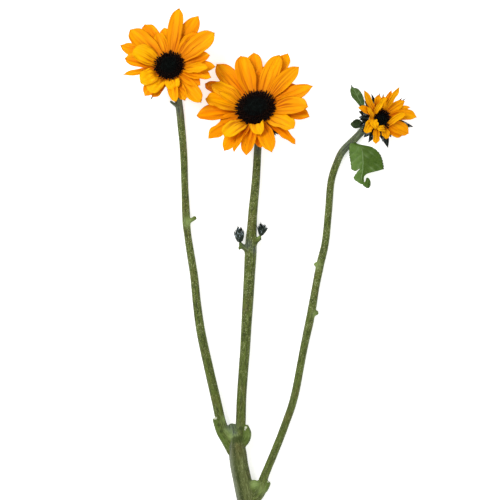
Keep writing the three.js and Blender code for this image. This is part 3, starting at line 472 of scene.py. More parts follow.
def skins(rings, **marks):
    """Closed skins through rings of points, (skins, rings, corners, 3), with each ring
    anticlockwise as seen from the last. A pole in the middle of the first and the last ring
    closes each skin. A mark has one number for each corner of each ring."""
    count, length, sides = rings.shape[:3]

    def with_poles(values):
        rest = values.shape[3:]
        body = values.reshape(count, length * sides, *rest)
        ends = [values[:, end].mean(axis=1, keepdims=True) for end in (0, -1)]
        return np.concatenate([body, *ends], axis=1).reshape(-1, *rest)

    ring, side = np.meshgrid(np.arange(length - 1) * sides, np.arange(sides), indexing="ij")
    here, after = ring + side, ring + (side + 1) % sides
    quads = np.stack([here, after, after + sides, here + sides], -1).reshape(-1, 4)
    side, last = np.arange(sides), (length - 1) * sides
    after = (side + 1) % sides
    pole = 0 * side + length * sides
    triangles = np.concatenate([
        np.stack([after, side, pole], -1), np.stack([side + last, after + last, pole + 1], -1),
    ])
    starts = (np.arange(count) * (length * sides + 2))[:, None, None]
    return Shape(
        with_poles(rings), (quads + starts).reshape(-1, 4), (triangles + starts).reshape(-1, 3),
        {name: with_poles(np.broadcast_to(values, rings.shape[:3]))
         for name, values in marks.items()},
    )


def circle(sides):
    """The cosines and sines of evenly spaced angles, anticlockwise."""
    turn = np.arange(sides) / sides * 2 * np.pi
    return np.cos(turn), np.sin(turn)


def circles(side, lift, sides):
    """The unit circle round each of many axes, (axes, sides, 3), in the plane of two vectors."""
    cos, sin = circle(sides)
    return side[:, None] * cos[:, None] + lift[:, None] * sin[:, None]


def square_to(axis):
    """Two unit vectors square to each axis and to each other."""
    side = unit(np.cross(axis, ASKEW))
    return side, np.cross(axis, side)


def lathe(outline, sides):
    """A skin turned round the Z axis: each [radius, height] of the outline is a ring."""
    radius, height = np.array(outline, float).T[:, :, None]
    cos, sin = circle(sides)
    rings = np.stack(np.broadcast_arrays(radius * cos, radius * sin, height), -1)
    return skins(rings[None])


def tubes(place, axis, height, radius, profile, sides, **marks):
    """Small tubes, one on each place along its axis: a row of the profile is one ring's height
    and radius, as shares of the tube's own. Their mark "tip" rises from 0 to 1."""
    profile = np.array(profile, float)
    around = circles(*square_to(axis), sides)[:, None]
    centre = place[:, None] + axis[:, None] * (height[:, None] * profile[:, 0])[..., None]
    rings = centre[:, :, None] + around * (radius[:, None] * profile[:, 1])[..., None, None]
    spread = {name: values[:, None, None] for name, values in marks.items()}
    return skins(rings, tip=profile[:, :1][None], **spread)


def hairs(shape, random, count, length, width, lean):
    """Three-sided hairs on random spots of a shape's skin, spread evenly over its area. Each
    stands on the face's normal, pushed over by up to lean of its length; those whose tips would
    come lower than the lowest height are left out."""
    cross = shape.crosses()
    area = np.linalg.norm(cross, axis=1)
    face = random.choice(len(area), count, p=area / area.sum())
    share = random.random((count, 2))
    share = np.where(share.sum(axis=1, keepdims=True) > 1, 1 - share, share)
    a, b, c = shape.points[shape.corners()[face]].transpose(1, 0, 2)
    spot = a + (b - a) * share[:, :1] + (c - a) * share[:, 1:]
    axis = unit(unit(cross[face]) + random.uniform(-lean, lean, (count, 3)))
    end = spot + axis * (length * random.uniform(0.55, 1.15, count))[:, None]
    kept = end[:, 2] > LOWEST_HAIR
    spot, axis, end = spot[kept], axis[kept], end[kept]
    foot = (spot - axis * HAIR_ROOT)[:, None] + circles(*square_to(axis), 3) * width / 2
    points = np.concatenate([foot, end[:, None]], axis=1)
    starts = (np.arange(len(spot)) * 4)[:, None, None]
    triangles = np.array([[0, 1, 3], [1, 2, 3], [2, 0, 3], [2, 1, 0]]) + starts
    return Shape(points.reshape(-1, 3), np.zeros((0, 4), int), triangles.reshape(-1, 3),
                 {"tip": np.tile([0.0, 0.0, 0.0, 1.0], len(spot))})


# ---- Blades: petals and bracts ----


def petal_width(s, bluntness):
    """A petal's width along it: over half at the root, full before the middle, and from 0.4 of
    its length on closing, slowly at first, to a pointed or a round tip."""
    closed = np.clip((s - 0.4) / 0.6, 0, 0.9995) ** 3.2
    return (0.58 + 0.42 * smooth(s, 0, 0.4)) * (1 - closed) ** (0.9 - 0.5 * bluntness)


def bract_width(s):
    """A bract's: broad from its root, drawn out to a long point."""
    return (0.75 + 0.25 * smooth(s, 0, 0.35)) * (1 - np.clip(s, 0, 0.9995) ** 1.7) ** 0.95


def bud_bract_width(s):
    """A bud's bract: narrow at its root, where it meets its neighbours, and as long a point."""
    return bract_width(s) * (0.5 + 0.5 * np.clip(s / 0.35, 0, 1))


def loop(columns):
    """A flat loop round a blade's section: w runs from one edge, 1, to the other, -1, and back
    underneath, and up, the fourth root of 1 - w², is how far off the middle of its thickness each
    corner stands, downwards on the way back."""
    step = np.arange(2 * columns) / columns
    w = 1 - 2 * np.minimum(step, 2 - step)
    up = np.sqrt(np.sqrt(np.clip(1 - w * w, 0, 1))) * np.where(step < 1, 1, -1)
    return w, up


def blades(rows, radius, height, width_at, random, rings, columns, thickness, cup, bunch=1,
           claw=0, relief=None, retreat=None, groove=None):
    """Blades that grow from a ring. The middle line of each starts at its radius and height and
    is the running sum of its heading, which turns from the row's rise by its curl, and sideways by
    its veer and its sway. Round the line runs a flat loop: across it stands w times the half
    width, which width_at gives from the share s of the length, and off the face the cup, w² of the
    half width, the relief, a function of s, w and the half width, and half the thickness. retreat,
    a function of w, draws the tip back from a straight end, claw runs the root on inwards, and
    groove is where the mark "furrow" is drawn."""
    rows = np.array([list(row) + [0] * (9 - len(row)) for row in rows], float)
    turn0, length, width, rise, curl, twist, sway, _, veer = rows.T[:, :, None]
    s = np.linspace(0, 1, BLADE_STEPS + 1)
    slope, turn = np.radians(rise + curl * s), np.radians(turn0 + veer + sway * s)
    flat = np.cos(slope)
    heading = np.stack([flat * np.cos(turn), flat * np.sin(turn), np.sin(slope)], -1)
    level = np.stack([-np.sin(turn), np.cos(turn), 0 * turn], -1)
    angle = np.radians(twist * s)[..., None]
    across = level * np.cos(angle) + np.cross(heading, level) * np.sin(angle)
    face = np.cross(heading, across)
    steps = (heading[:, 1:] + heading[:, :-1]) / 2 * (length / BLADE_STEPS)[..., None]
    run = np.concatenate([np.zeros((len(rows), 1, 3)), np.cumsum(steps, axis=1)], axis=1)
    root = np.radians(turn0[:, 0])
    start = np.stack([radius * np.cos(root), radius * np.sin(root), height + 0 * root], -1)
    middle = start[:, None] + run

    w, up = loop(columns)
    share = -claw / length + (1 + claw / length) * np.linspace(0, 1, rings) ** bunch
    share = share[:, :, None] + 0 * w
    half = np.maximum(width[..., None] / 2 * width_at(share), LEAST_HALF_WIDTH)
    back = retreat(w) * np.clip(share, 0, 1) ** 5 if retreat else 0
    place = (share - back) * BLADE_STEPS
    low = np.clip(place.astype(int), 0, BLADE_STEPS - 1)
    part = (place - low)[..., None]
    pick = np.arange(len(rows))[:, None, None]

    def along(line):
        return line[pick, low] * (1 - part) + line[pick, low + 1] * part

    lifted = cup * w * w * half + up * thickness / 2
    if relief:
        lifted = lifted + relief(share, w, half)
    rings = along(middle) + along(across) * (w * half)[..., None] + along(face) * lifted[..., None]
    tone = random.random((len(rows), 1, 1))
    # the last mark grows with a blade's rise; on petals it makes steep ones yellower, partly their
    # own colour and partly a painted highlight
    return skins(rings, along=share, across=w, tone=tone, under=(up < 0) * 1.0,
                 furrow=groove(share, w) if groove else 0, young=smooth(rise, 12, 48)[..., None])


def petals(head, random):
    """The petals of a head, on the low ring that they grow from. Each has two long furrows, fine
    ribs, a hollow or a fold of its own, an edge that waves towards the tip, crumples where it
    curls, and a tip with a small notch or a blunt point. The mark "furrow" is 1 along them."""
    rows = head.petals
    draw = Sizes(**{name: random.random((len(rows), 1, 1)) for name in
                    ("furrow", "fold", "wave", "phase", "notch", "ribs", "crease")})
    rise, curl, blunt = (np.array([row[k] for row in rows], float) for k in (3, 4, 7))
    blunt = blunt[:, None, None]
    crumple = smooth(np.abs(curl), 35, 90)[:, None, None]
    steep = rise > STEEP_ROOT.rise
    upper = np.arange(len(rows)) % 2 == 0
    beyond = np.where(steep, STEEP_ROOT.beyond, PETAL_ROOT.beyond)
    height = np.where(upper, PETAL_ROOT.upper, PETAL_ROOT.lower)
    height = np.where(steep, STEEP_ROOT.height, height)

    def furrows(s, w):
        drift = FURROW.drift * np.sin(5 * s + 9 * draw.phase)
        out = FURROW.out + FURROW.vary * draw.furrow
        lines = sum(bell((w - side * out - drift) / FURROW.width) for side in (-1, 1))
        return lines * smooth(s, -0.05, 0.12) * (1 - smooth(s, 0.72, 1))

    def relief(s, w, half):
        open_ = smooth(s, 0.02, 0.25) * (1 - 0.6 * smooth(s, 0.8, 1))
        ribs = np.cos((7 + 3 * draw.ribs) * np.pi * w + 6 * draw.phase)
        wave = np.sin(2 * np.pi * (s * (1 + 1.6 * draw.wave) + draw.phase) + 2.2 * w)
        fold = (0.3 * draw.fold - 0.14) * w * w * half
        edge = np.abs(w) ** 2 * smooth(s, 0.15, 0.7) * (0.4 + 0.9 * draw.wave)
        folds = (crumple * PETAL_RELIEF.folds * half * np.sin(15 * s + 3 * w + 9 * draw.phase)
                 * np.cos(4 * w))
        slope = PETAL_RELIEF.crease * (2 * draw.crease - 1)
        crease = slope * half * np.abs(w + 0.3 * draw.notch - 0.15)
        fine = PETAL_RELIEF.ribs * ribs + folds + crease - FURROW.depth * furrows(s, w)
        return open_ * fine + edge * wave + fold

    def retreat(w):
        notch = 0.06 * np.clip(3 * draw.notch - 1.5, 0, 1) * blunt * np.cos(1.5 * np.pi * w) ** 2
        return 0.05 * w * w + notch * (np.abs(w) < 0.34)

    blade = blades(rows, head.disc + beyond, height, lambda s: petal_width(s, blunt), random,
                   relief=relief, retreat=retreat, groove=furrows, **PETAL)
    inner, outer = head.disc * PETAL_RING.inner, head.disc + PETAL_RING.beyond
    low, high = PETAL_RING.bevels
    ring = lathe([
        [inner, PETAL_RING.bottom], [outer - low, PETAL_RING.bottom], [outer, 0],
        [outer - high, PETAL_RING.top], [inner, PETAL_RING.top],
    ], SIDES.cup)
    return joined(blade, ring)


def bract_ring(count, length, width, seed):
    """Two rows of bracts evenly round the cup, each a little longer or shorter than the next."""
    rows = []
    for k in range(count):
        row = BRACT_ROWS[k % 2]
        rows.append([360 * (k + 0.25 * chance(seed + k)) / count,
                     length * vary(0.14, seed + k + 50) * row.length,
                     width * vary(0.1, seed + k + 90), row.rise + 3 * chance(seed + k + 130),
                     BRACT_CURL + 8 * chance(seed + k + 170)])
    return rows


def bracts(head, random):
    """The green cup behind the petals, the pointed bracts on it, with a ridge down each, and the
    rings of short ones that lie on it like scales."""
    rim, depth, spread = head.disc + CUP.beyond, head.depth, head.spread
    outline = through([
        [CUP.foot, CUP.foot_height - depth],
        *[[rim * out, -depth * down] for out, down in CUP.outline],
        [rim - CUP.lip, CUP.top],
    ], STEPS.cup)
    rows = [*bract_ring(*head.ring), *head.bracts]
    roots = [BRACT_ROWS[k % 2] for k in range(len(rows))]
    out, down = np.array([(root.out, root.down) for root in roots]).T

    def relief(s, w, half):
        ridge = -BRACT_RELIEF.ridge * bell(w / BRACT_RELIEF.width)
        ribs = BRACT_RELIEF.ribs * np.cos(9 * np.pi * w)
        wave = BRACT_RELIEF.wave * w * w * np.sin(7 * s + 3 * w)
        return (ridge + ribs) * smooth(1 - s, 0, 0.4) + wave

    parts = [lathe(outline, SIDES.cup),
             blades(rows, rim * out, -depth * down, bract_width, random, relief=relief, **BRACT)]
    for count, radius, reach, width, down, rise, curl in SCALES:
        ring = [[360 * (k + 0.3 * chance(k + count)) / count,
                 rim * reach * spread * vary(0.12, k + 2 * count), rim * width * spread,
                 rise + 4 * chance(k + 3 * count), curl + 8 * chance(k + 4 * count)]
                for k in range(count)]
        parts.append(blades(ring, rim * radius, -depth * down, bract_width, random, relief=relief,
                            **SCALE))
    return joined(*parts)


def bud(sizes, random):
    """A closed bud: an egg in three coats of narrow bracts, whose points stand past its tip."""
    radius = sizes.radius
    turn = np.linspace(EGG.pole, np.pi - EGG.pole, 14)
    parts = [lathe(np.stack([radius * EGG.radius * np.sin(turn) ** EGG.fullness,
                             sizes.length / 2 * (1 - np.cos(turn))], -1), SIDES.bud)]

    def relief(s, w, half):
        return -BUD_RIDGE.ridge * bell(w / BUD_RIDGE.width) * smooth(1 - s, 0, 0.4)

    for coat, (count, rise, reach, out, height, less) in enumerate(BUD_COATS):
        seed = 9 * coat
        rows = [[360 * (k + COAT_TURN * coat) / count,
                 sizes.spike * reach * (1 - BUD_RAGGED * abs(chance(k + seed + 7))),
                 radius * BUD_BRACT_WIDTH, rise + 5 * chance(k + seed + 20),
                 sizes.curl - less + 16 * chance(k + seed + 40)]
                for k in range(count)]
        parts.append(blades(rows, radius * out, radius * height, bud_bract_width, random,
                            relief=relief, **BUD_BRACT))
    return joined(*parts)


# ---- Discs ----


def disc(head, random):
    """The dark disc: a low dome covered with florets on a golden spiral, closed buds in the
    middle, and open ones towards the rim, which stand taller and lean outwards to a ragged point.
    A fringe of the longest ones leans out over the petals' roots."""
    radius = head.disc
    crown = radius * DISC_CROWN
    dome = lathe([
        [radius * 0.7, DOME.foot], [radius * 0.98, DOME.foot], [radius, DOME.edge],
        *[[radius * share, DOME.rim + crown * (1 - share * share)] for share in DOME_SHARES],
    ], SIDES.disc)
    count = int(math.pi * radius**2 / (0.866 * FLORET_SPACING**2))
    fringe = int(2 * math.pi * radius / FRINGE_SPACING)
    share = np.append(np.sqrt((np.arange(count) + 0.5) / count), random.uniform(0.93, 1, fringe))
    turn = np.append(np.arange(count) * GOLDEN_TURN,
                     (np.arange(fringe) + random.random(fringe)) / fringe * 2 * np.pi)
    longest = np.arange(count + fringe) >= count
    out = np.stack([np.cos(turn), np.sin(turn), 0 * turn], -1)
    place = out * (share * radius)[:, None]
    place[:, 2] = DOME.feet + crown * (1 - share * share)
    opened = smooth(share, OPEN_FLORETS - 0.08, OPEN_FLORETS + 0.08)
    lean = (2 * DISC_CROWN * share + opened * smooth(share, 0.6, 1.0) * OPENED.lean
            + longest * FRINGE.lean)
    disorder = (FLORET.disorder + OPENED.disorder * opened)[:, None]
    wild = random.normal(0, 0.13, (len(share), 3)) * disorder
    axis = unit(UP + out * lean[:, None] + wild)
    height = FLORET.length + OPENED.length * opened + FRINGE.length * radius * longest
    height = height * random.uniform(0.7, 1.3, len(share))
    width = FLORET_SPACING * (FLORET.width + OPENED.width * opened + FRINGE.width * longest)
    shut = share < OPEN_FLORETS
    parts = [tubes(place[some], axis[some], height[some], width[some], outline, SIDES.floret,
                   open=opened[some], middle=1 - share[some])
             for some, outline in ((shut, CLOSED_OUTLINE), (~shut, OPEN_OUTLINE))]
    return joined(dome, *parts)


# ---- The stalk ----


def neck(line, head):
    """A stalk's line, with the stretch that bends up into its head: a cubic curve that leaves
    level along the stalk and arrives along the head's axis."""
    start, heading = line[-1, :3], unit((line[-1, :3] - line[-5, :3]) * [1, 1, 0])
    end = head.place - head.axis * head.depth
    handle = NECK_HANDLE * np.linalg.norm(end - start)
    t = np.linspace(0, 1, 26)[1:, None]
    bend = ((1 - t) ** 3 * start + 3 * (1 - t) ** 2 * t * (start + heading * handle)
            + 3 * (1 - t) * t**2 * (end - head.axis * handle) + t**3 * end)
    return np.vstack([line, np.column_stack([bend, np.full(len(bend), line[-1, 3])])])


def rounded(line):
    """A stub's line with a round end: its diameter follows a quarter circle."""
    *_, (x, y, z, diameter) = line
    heading = unit(line[-1, :3] - line[-2, :3])
    turn = np.linspace(0, np.pi / 2, 6)[1:, None] * 0.94
    cap = np.array([x, y, z]) + heading * diameter / 2 * ROUND_END * np.sin(turn)
    return np.vstack([line, np.column_stack([cap, diameter * np.cos(turn)])])


def stalk_frame(line):
    """The heading, side and lift at each point of a stalk's line: side is level."""
    heading = unit(np.gradient(line[:, :3], axis=0))
    side = unit(np.cross(UP, heading))
    return heading, side, np.cross(heading, side)


def stalk(line):
    """A round skin along a stalk's line of [x, y, z, diameter]."""
    _, side, lift = stalk_frame(line)
    around = circles(side, lift, SIDES.stalk)
    return skins((line[:, None, :3] + around * line[:, None, 3:] / 2)[None])


def one_skin(shape, voxel):
    """Overlapping closed skins made one, by a voxel remesh."""
    holder = add_mesh("fusing", shape.points, shape.faces())
    modifier = holder.modifiers.new("one_skin", "REMESH")
    modifier.mode = "VOXEL"
    modifier.voxel_size = voxel
    fine = holder.evaluated_get(bpy.context.evaluated_depsgraph_get()).to_mesh()

    def read(data, field, kind=int, width=1):
        values = np.empty(len(data) * width, kind)
        data.foreach_get(field, values)
        return values

    points = read(fine.vertices, "co", float, 3).reshape(-1, 3)
    corners = read(fine.loops, "vertex_index")
    sides, starts = read(fine.polygons, "loop_total"), read(fine.polygons, "loop_start")
    quads, triangles = (corners[starts[sides == n][:, None] + np.arange(n)] for n in (4, 3))
    mesh = holder.data
    bpy.data.objects.remove(holder)
    bpy.data.meshes.remove(mesh)
    return Shape(points, quads, triangles, {})


def summed(index, vectors, count):
    """For each of so many points, the sum of the vectors that the index gives to it."""
    return np.stack([np.bincount(index, vectors[:, axis], count) for axis in range(3)], -1)


def relaxed(shape, weight, rounds):
    """A shape whose points move, by a share weight of the way and so many times, to the middle
    of the points beside them."""
    first, second = np.concatenate([shape.quads[:, [k, (k + 1) % 4]] for k in range(4)]).T
    count = len(shape.points)
    beside = np.maximum(np.bincount(first, minlength=count), 1)
    points = shape.points.copy()
    for _ in range(rounds):
        middle = summed(first, points[second], count) / beside[:, None]
        points += (middle - points) * weight[:, None]
    return Shape(points, shape.quads, shape.triangles, shape.marks)


def nearest_line(points, lines):
    """For each point, the nearest place on the stalks' lines: which stalk, how far along it in
    millimetres, the angle round it, and the way to its end in radii."""
    rows = np.concatenate(lines)
    stations, radius = rows[:, :3], rows[:, 3] / 2
    number = np.repeat(np.arange(len(lines)), [len(line) for line in lines])
    run = np.concatenate([reaches(line) for line in lines])
    left = np.concatenate([reaches(line[::-1])[::-1] for line in lines])
    frames = [np.concatenate(part) for part in zip(*(stalk_frame(line) for line in lines))]
    nearest = np.concatenate([
        (np.linalg.norm(some[:, None] - stations, axis=2) - radius).argmin(axis=1)
        for some in np.array_split(points, len(points) // 4000 + 1)
    ])
    heading, side, lift = (part[nearest] for part in frames)
    off = points - stations[nearest]
    angle = np.arctan2((off * lift).sum(axis=1), (off * side).sum(axis=1))
    ahead = (off * heading).sum(axis=1)
    return number[nearest], run[nearest] + ahead, angle, (left[nearest] - ahead) / radius[nearest]


def closeness(points, spots):
    """How near each point is to one of these spots, rows of [x, y, height, reach]: 1 in its
    middle, and a bell curve around."""
    spots = np.array(spots, float)
    off = np.linalg.norm(points[:, None] - spots[:, :3], axis=2) / spots[:, 3]
    return bell(off).max(axis=1)


def point_normals(shape):
    """The normal at each point: the sum of the normals of its faces, by area."""
    cross = shape.crosses()
    total = sum(summed(corner, cross, len(shape.points)) for corner in shape.corners().T)
    return unit(total + NOT_ZERO)


def whole_stalk():
    """All stalks and stubs as one skin: rounded where they join, with low ridges along them, and
    marks for the grain, the patches, the stubs, the cut end, and what is special to the main
    stalk: its sides and a dark band."""
    lines = [through(MAIN_STALK, STEPS.stalk)]
    lines += [neck(through(head.stalk, STEPS.stalk), head) for head in HEADS.values()]
    lines += [rounded(through(rows, STEPS.stub)) for rows in STUBS]
    shape = one_skin(joined(*(stalk(line) for line in lines)), VOXEL)
    joints = closeness(shape.points, JOINTS)
    weight, rounds = SMOOTHING.all
    shape = relaxed(shape, weight + 0 * joints, rounds)
    weight, rounds = SMOOTHING.joints
    shape = relaxed(shape, weight * smooth(joints, 0.15, 0.8), rounds)
    number, run, angle, end = nearest_line(shape.points, lines)
    (coarse, waves), (fine, ripples) = RIDGES.coarse, RIDGES.fine
    ridge = coarse * np.cos(angle * waves + number) + fine * np.cos(angle * ripples + run / 20)
    calm = smooth(end, 0.0, 0.6) * smooth(run, 0.5, 4) * (1 - 0.6 * joints)
    shape.points += point_normals(shape) * (ridge * calm)[:, None]
    main = np.where(number == 0, 1.0, 0.0)
    band, width = DARK_BAND
    shape.marks = {
        "grain": np.stack([np.cos(angle) * GRAIN.round, np.sin(angle) * GRAIN.round,
                           run * GRAIN.along + number * GRAIN.apart], -1),
        "cut": main * (1 - smooth(run, 0.1, 0.6)),
        "stub": np.where(number > len(HEADS), 1.0, 0.0) * smooth(run, 3, 9),
        "main": main,
        "band": main * bell((angle - band) / width),
        "side": main * (1 - smooth(np.abs(angle), 0.6, 1.2)),
        "speckled": 0.3 + 0.7 * smooth(shape.points[:, 1], *SPECKLED),
        **{name: closeness(shape.points, spots) for name, spots in PATCHES.items()},
    }
    return shape


# ---- Leaves ----


def leaf(rows, runs, veins, teeth):
    """A leaf that runs along an axis, from its table. Across each row the blade goes from one edge
    over the rib to the other, with its edges a little higher than the rib. Side veins run out and
    on from the rib as furrows, the blade swells and ripples between them, and the edge has fine
    teeth."""
    table = through([row + [0] * (6 - len(row)) for row in rows], STEPS.leaf)
    along, left, right, rib, height, lag = table.T[:, :, None]
    w, up = loop(LEAF_COLUMNS)
    run = np.append(0, np.cumsum(np.abs(np.diff(table[:, 0]))))[:, None]
    tooth = 1 + teeth * ((run / TOOTH) % 1 - 0.5) * smooth(np.abs(w), 0.75, 1)
    out = (np.where(w > 0, right, left) - rib) * np.abs(w) * tooth
    off = np.abs(out)
    slant = (run - 0.85 * off) / veins
    furrow = bell(((slant % 1) - 0.5) / 0.17) * smooth(off, 0.5, 1.5)
    swell = np.sin(np.pi * ((slant + 0.5) % 1)) * smooth(off, 0.5, 4)
    stem = bell(off / RIB.width)
    small = np.sin(run * 0.7 + off * 0.5) * RIPPLE * smooth(off, 2, 8)
    top = LEAF_FOLD * off + LEAF_SWELL * swell - VEIN_DEPTH * furrow + small
    thick = LEAF_HALF + RIB.under * stem * (up < 0)
    lifted = height + top - RIB.groove * stem * (up > 0) + up * thick
    points = np.stack([along - lag * np.maximum(-w, 0), rib + out, lifted], -1)
    if runs == "y":
        points = points[..., [1, 0, 2]]
    if (rows[-1][0] > rows[0][0]) == (runs == "y"):  # the loops are clockwise: turned round
        points, furrow, stem = points[:, ::-1], furrow[:, ::-1], stem[:, ::-1]
        w, up = w[::-1], up[::-1]
    return skins(points[None], along=run[None] / run.max(), across=w, under=(up < 0) * 1.0,
                 vein=furrow[None], rib=stem[None])


# ---- Finishes ----


def colour(code):
    """A six-digit sRGB colour code as a linear colour."""
    shares = [int(code[k:k + 2], 16) / 255 for k in (0, 2, 4)]
    return [x / 12.92 if x <= 0.04045 else ((x + 0.055) / 1.055) ** 2.4 for x in shares] + [1]


class Number:
    """A number from a node of a finish. An expression on it adds Math nodes."""

    def __init__(self, finish, socket):
        self.finish = finish
        self.socket = socket

    def maths(self, operation, *operands):
        """A Math node on these operands."""
        return self.finish.node("ShaderNodeMath", {"operation": operation},
                                dict(enumerate(operands)))

    def __add__(self, other):
        return self.maths("ADD", self, other)

    def __sub__(self, other):
        return self.maths("SUBTRACT", self, other)

    def __rsub__(self, other):
        return self.maths("SUBTRACT", other, self)

    def __mul__(self, other):
        return self.maths("MULTIPLY", self, other)

    __radd__ = __add__
    __rmul__ = __mul__

    def between(self, low, high):
        """0 below low, 1 above high, and a smooth step between them."""
        return self.finish.node("ShaderNodeMapRange", {"interpolation_type": "SMOOTHSTEP"},
                                {"Value": self, "From Min": low, "From Max": high})


class Finish:
    """A procedural material: one Principled shader and the nodes that feed it."""

    def __init__(self, name, roughness=0.6, **constants):
        self.material = bpy.data.materials.new(name)
        self.material.use_nodes = True
        self.tree = self.material.node_tree
        self.shader = self.tree.nodes["Principled BSDF"]
        for socket, value in {"Roughness": roughness, **constants}.items():
            self.shader.inputs[socket.replace("_", " ")].default_value = value
        self.place = self.node("ShaderNodeTexCoord", {}, {}, "Object")

    def node(self, kind, settings, inputs, output=0):
        """A node of this kind: its settings first, then its sockets' values or links."""
        made = self.tree.nodes.new(kind)
        for name, value in settings.items():
            setattr(made, name, value)
        for name, value in inputs.items():
            if isinstance(value, Number):
                self.tree.links.new(value.socket, made.inputs[name])
            else:
                made.inputs[name].default_value = value
        return Number(self, made.outputs[output])

    def marks(self, *names, output="Fac"):
        """Marks that the piece's points carry."""
        return [self.node("ShaderNodeAttribute", {"attribute_name": name}, {}, output)
                for name in names]

    def vector(self, x, y, z):
        """Three numbers as a vector."""
        return self.node("ShaderNodeCombineXYZ", {}, {0: x, 1: y, 2: z})

    def noise(self, scale, detail=2.0, roughness=0.5, vector=None):
        """Cloudy noise from 0 to 1, over the piece's own place unless a vector is given."""
        return self.node("ShaderNodeTexNoise", {}, {
            "Vector": vector or self.place, "Scale": scale, "Detail": detail,
            "Roughness": roughness})

    def dots(self, scale):
        """The distance to the middle of the nearest of many scattered cells."""
        return self.node("ShaderNodeTexVoronoi", {}, {"Vector": self.place, "Scale": scale})

    def coats(self, base, *coats):
        """A colour that turns, by each coat's share in turn, into the coat's colour. Each colour is
        a code or comes from a node."""
        for share, over in coats:
            sides = [colour(side) if isinstance(side, str) else side for side in (base, over)]
            base = self.node("ShaderNodeMix", {"data_type": "RGBA"},
                             {0: share, 6: sides[0], 7: sides[1]}, 2)
        return base

    def paint(self, base, roughness=None, relief=None, depth=0.0001):
        """Feeds the shader, with the relief, a number from 0 to 1, as a bump so deep in metres."""
        self.tree.links.new(base.socket, self.shader.inputs["Base Color"])
        if roughness is not None:
            self.tree.links.new(roughness.socket, self.shader.inputs["Roughness"])
        if relief is not None:
            bump = self.node("ShaderNodeBump", {}, {
                "Height": relief, "Strength": 0.8, "Distance": depth})
            self.tree.links.new(bump.socket, self.shader.inputs["Normal"])
        return self.material


def petal_finish():
    """Orange petals: deeper at the root, partly the petal's own colour and partly painted shade
    near the disc, darker in the furrows by painted shade, deeper in the fine lines near the root,
    yellower towards the tip, and yellower where they stand up steeply, partly as a painted
    highlight, with a brownish edge or point on some, and a duller underside."""
    finish = Finish("petal_orange", Specular_IOR_Level=0.05)
    along, across, tone, under, furrow, young = finish.marks(
        "along", "across", "tone", "under", "furrow", "young")
    lines = finish.noise(1.6, 2.5, 0.6, vector=finish.vector(
        across * 3.4 + tone * 50, along * 0.6, tone * 31))
    broad = finish.noise(1.3, vector=finish.vector(
        across * 1.6 + tone * 70, along * 1.2, tone * 13))
    near = 1 - along.between(0.1, 0.8) * 0.7
    edge = (across * across).between(0.72, 1.0)
    base = finish.coats(
        "ef8a00",
        (tone * 0.5 + broad * 0.5, "fb9f00"),
        # yellower where steep: partly the petal's own colour, partly a painted highlight
        (young * 0.85, "ffb800"),
        (along.between(0.25, 0.9) * broad.between(0.4, 0.65) * 0.7, "ffb800"),
        # deeper orange at the root: partly its own colour, partly painted shade near the disc
        ((1 - along.between(-0.1, 0.5)) * 0.75, "da6e00"),
        (lines.between(0.5, 0.62) * near * 0.85, "b65000"),
        ((1 - lines.between(0.3, 0.42)) * 0.4, "ffc20a"),
        # painted shade: darker along the furrows
        (furrow * near * 0.55, "bc5800"),
        (edge * along.between(0.5, 1.0) * 0.3, "c98000"),
        (along.between(0.95, 1.0) * tone.between(0.4, 0.8) * 0.6, "8a5a08"),
        (under * 0.35, "d89000"),
    )
    return finish.paint(base, roughness=lines * 0.25 + 0.42, depth=0.00025,
                        relief=lines * 0.7 + finish.noise(1800) * 0.3)


def disc_finish():
    """Nearly black florets: a green-black middle, grey-green clouds on the tips, red-brown open
    florets, and paler brown points on them."""
    finish = Finish("disc_black", 0.8, Specular_IOR_Level=0.08)
    tip, open_, middle = finish.marks("tip", "open", "middle")
    grain = finish.noise(900, 3.0)
    base = finish.coats(
        "070505",
        (middle.between(0.35, 0.8), "070c0a"),
        (finish.noise(260).between(0.5, 0.65) * tip * 0.6, "16211f"),
        (open_ * (0.2 + grain * 0.4), "260f09"),
        (tip.between(0.75, 1.0) * open_ * 0.5, "48230f"),
    )
    return finish.paint(base, relief=grain, depth=0.0002)


def bract_finish(name, dark, pale):
    """Hairy, nearly black green bracts, mottled with a paler green: grey along the ridge and the
    edges, a painted blue-grey highlight in patches of the blades, a lighter green at their roots
    and on the cup, dark points, and greener underneath."""
    finish = Finish(name, Specular_IOR_Level=0.14, Sheen_Weight=0.02)
    along, across, tone, under = finish.marks("along", "across", "tone", "under")
    mottle, patch, fine = finish.noise(420, 4.0, 0.65), finish.noise(230), finish.noise(2600)
    aside, blade = across * across, along.between(0.0, 0.12)
    base = finish.coats(
        dark,
        (mottle.between(0.48, 0.7) * 0.6 + tone * 0.1, pale),
        ((1 - aside.between(0.0, 0.05)) * 0.25 * along.between(0, 0.2), "5d6f66"),
        (aside.between(0.6, 1.0) * mottle * 0.5, "84938c"),
        # painted highlight: blue-grey glints in patches of the blades
        (patch.between(0.53, 0.6) * mottle.between(0.42, 0.56) * blade * 0.9, "a3b2b8"),
        ((1 - blade) * (0.3 + mottle * 0.5), "36492a"),
        (along.between(0.75, 1.0) * 0.5, "121a1a"),
        (under * 0.25, "43533e"),
    )
    return finish.paint(base, relief=mottle * 0.5 + fine * 0.5, depth=0.0004)


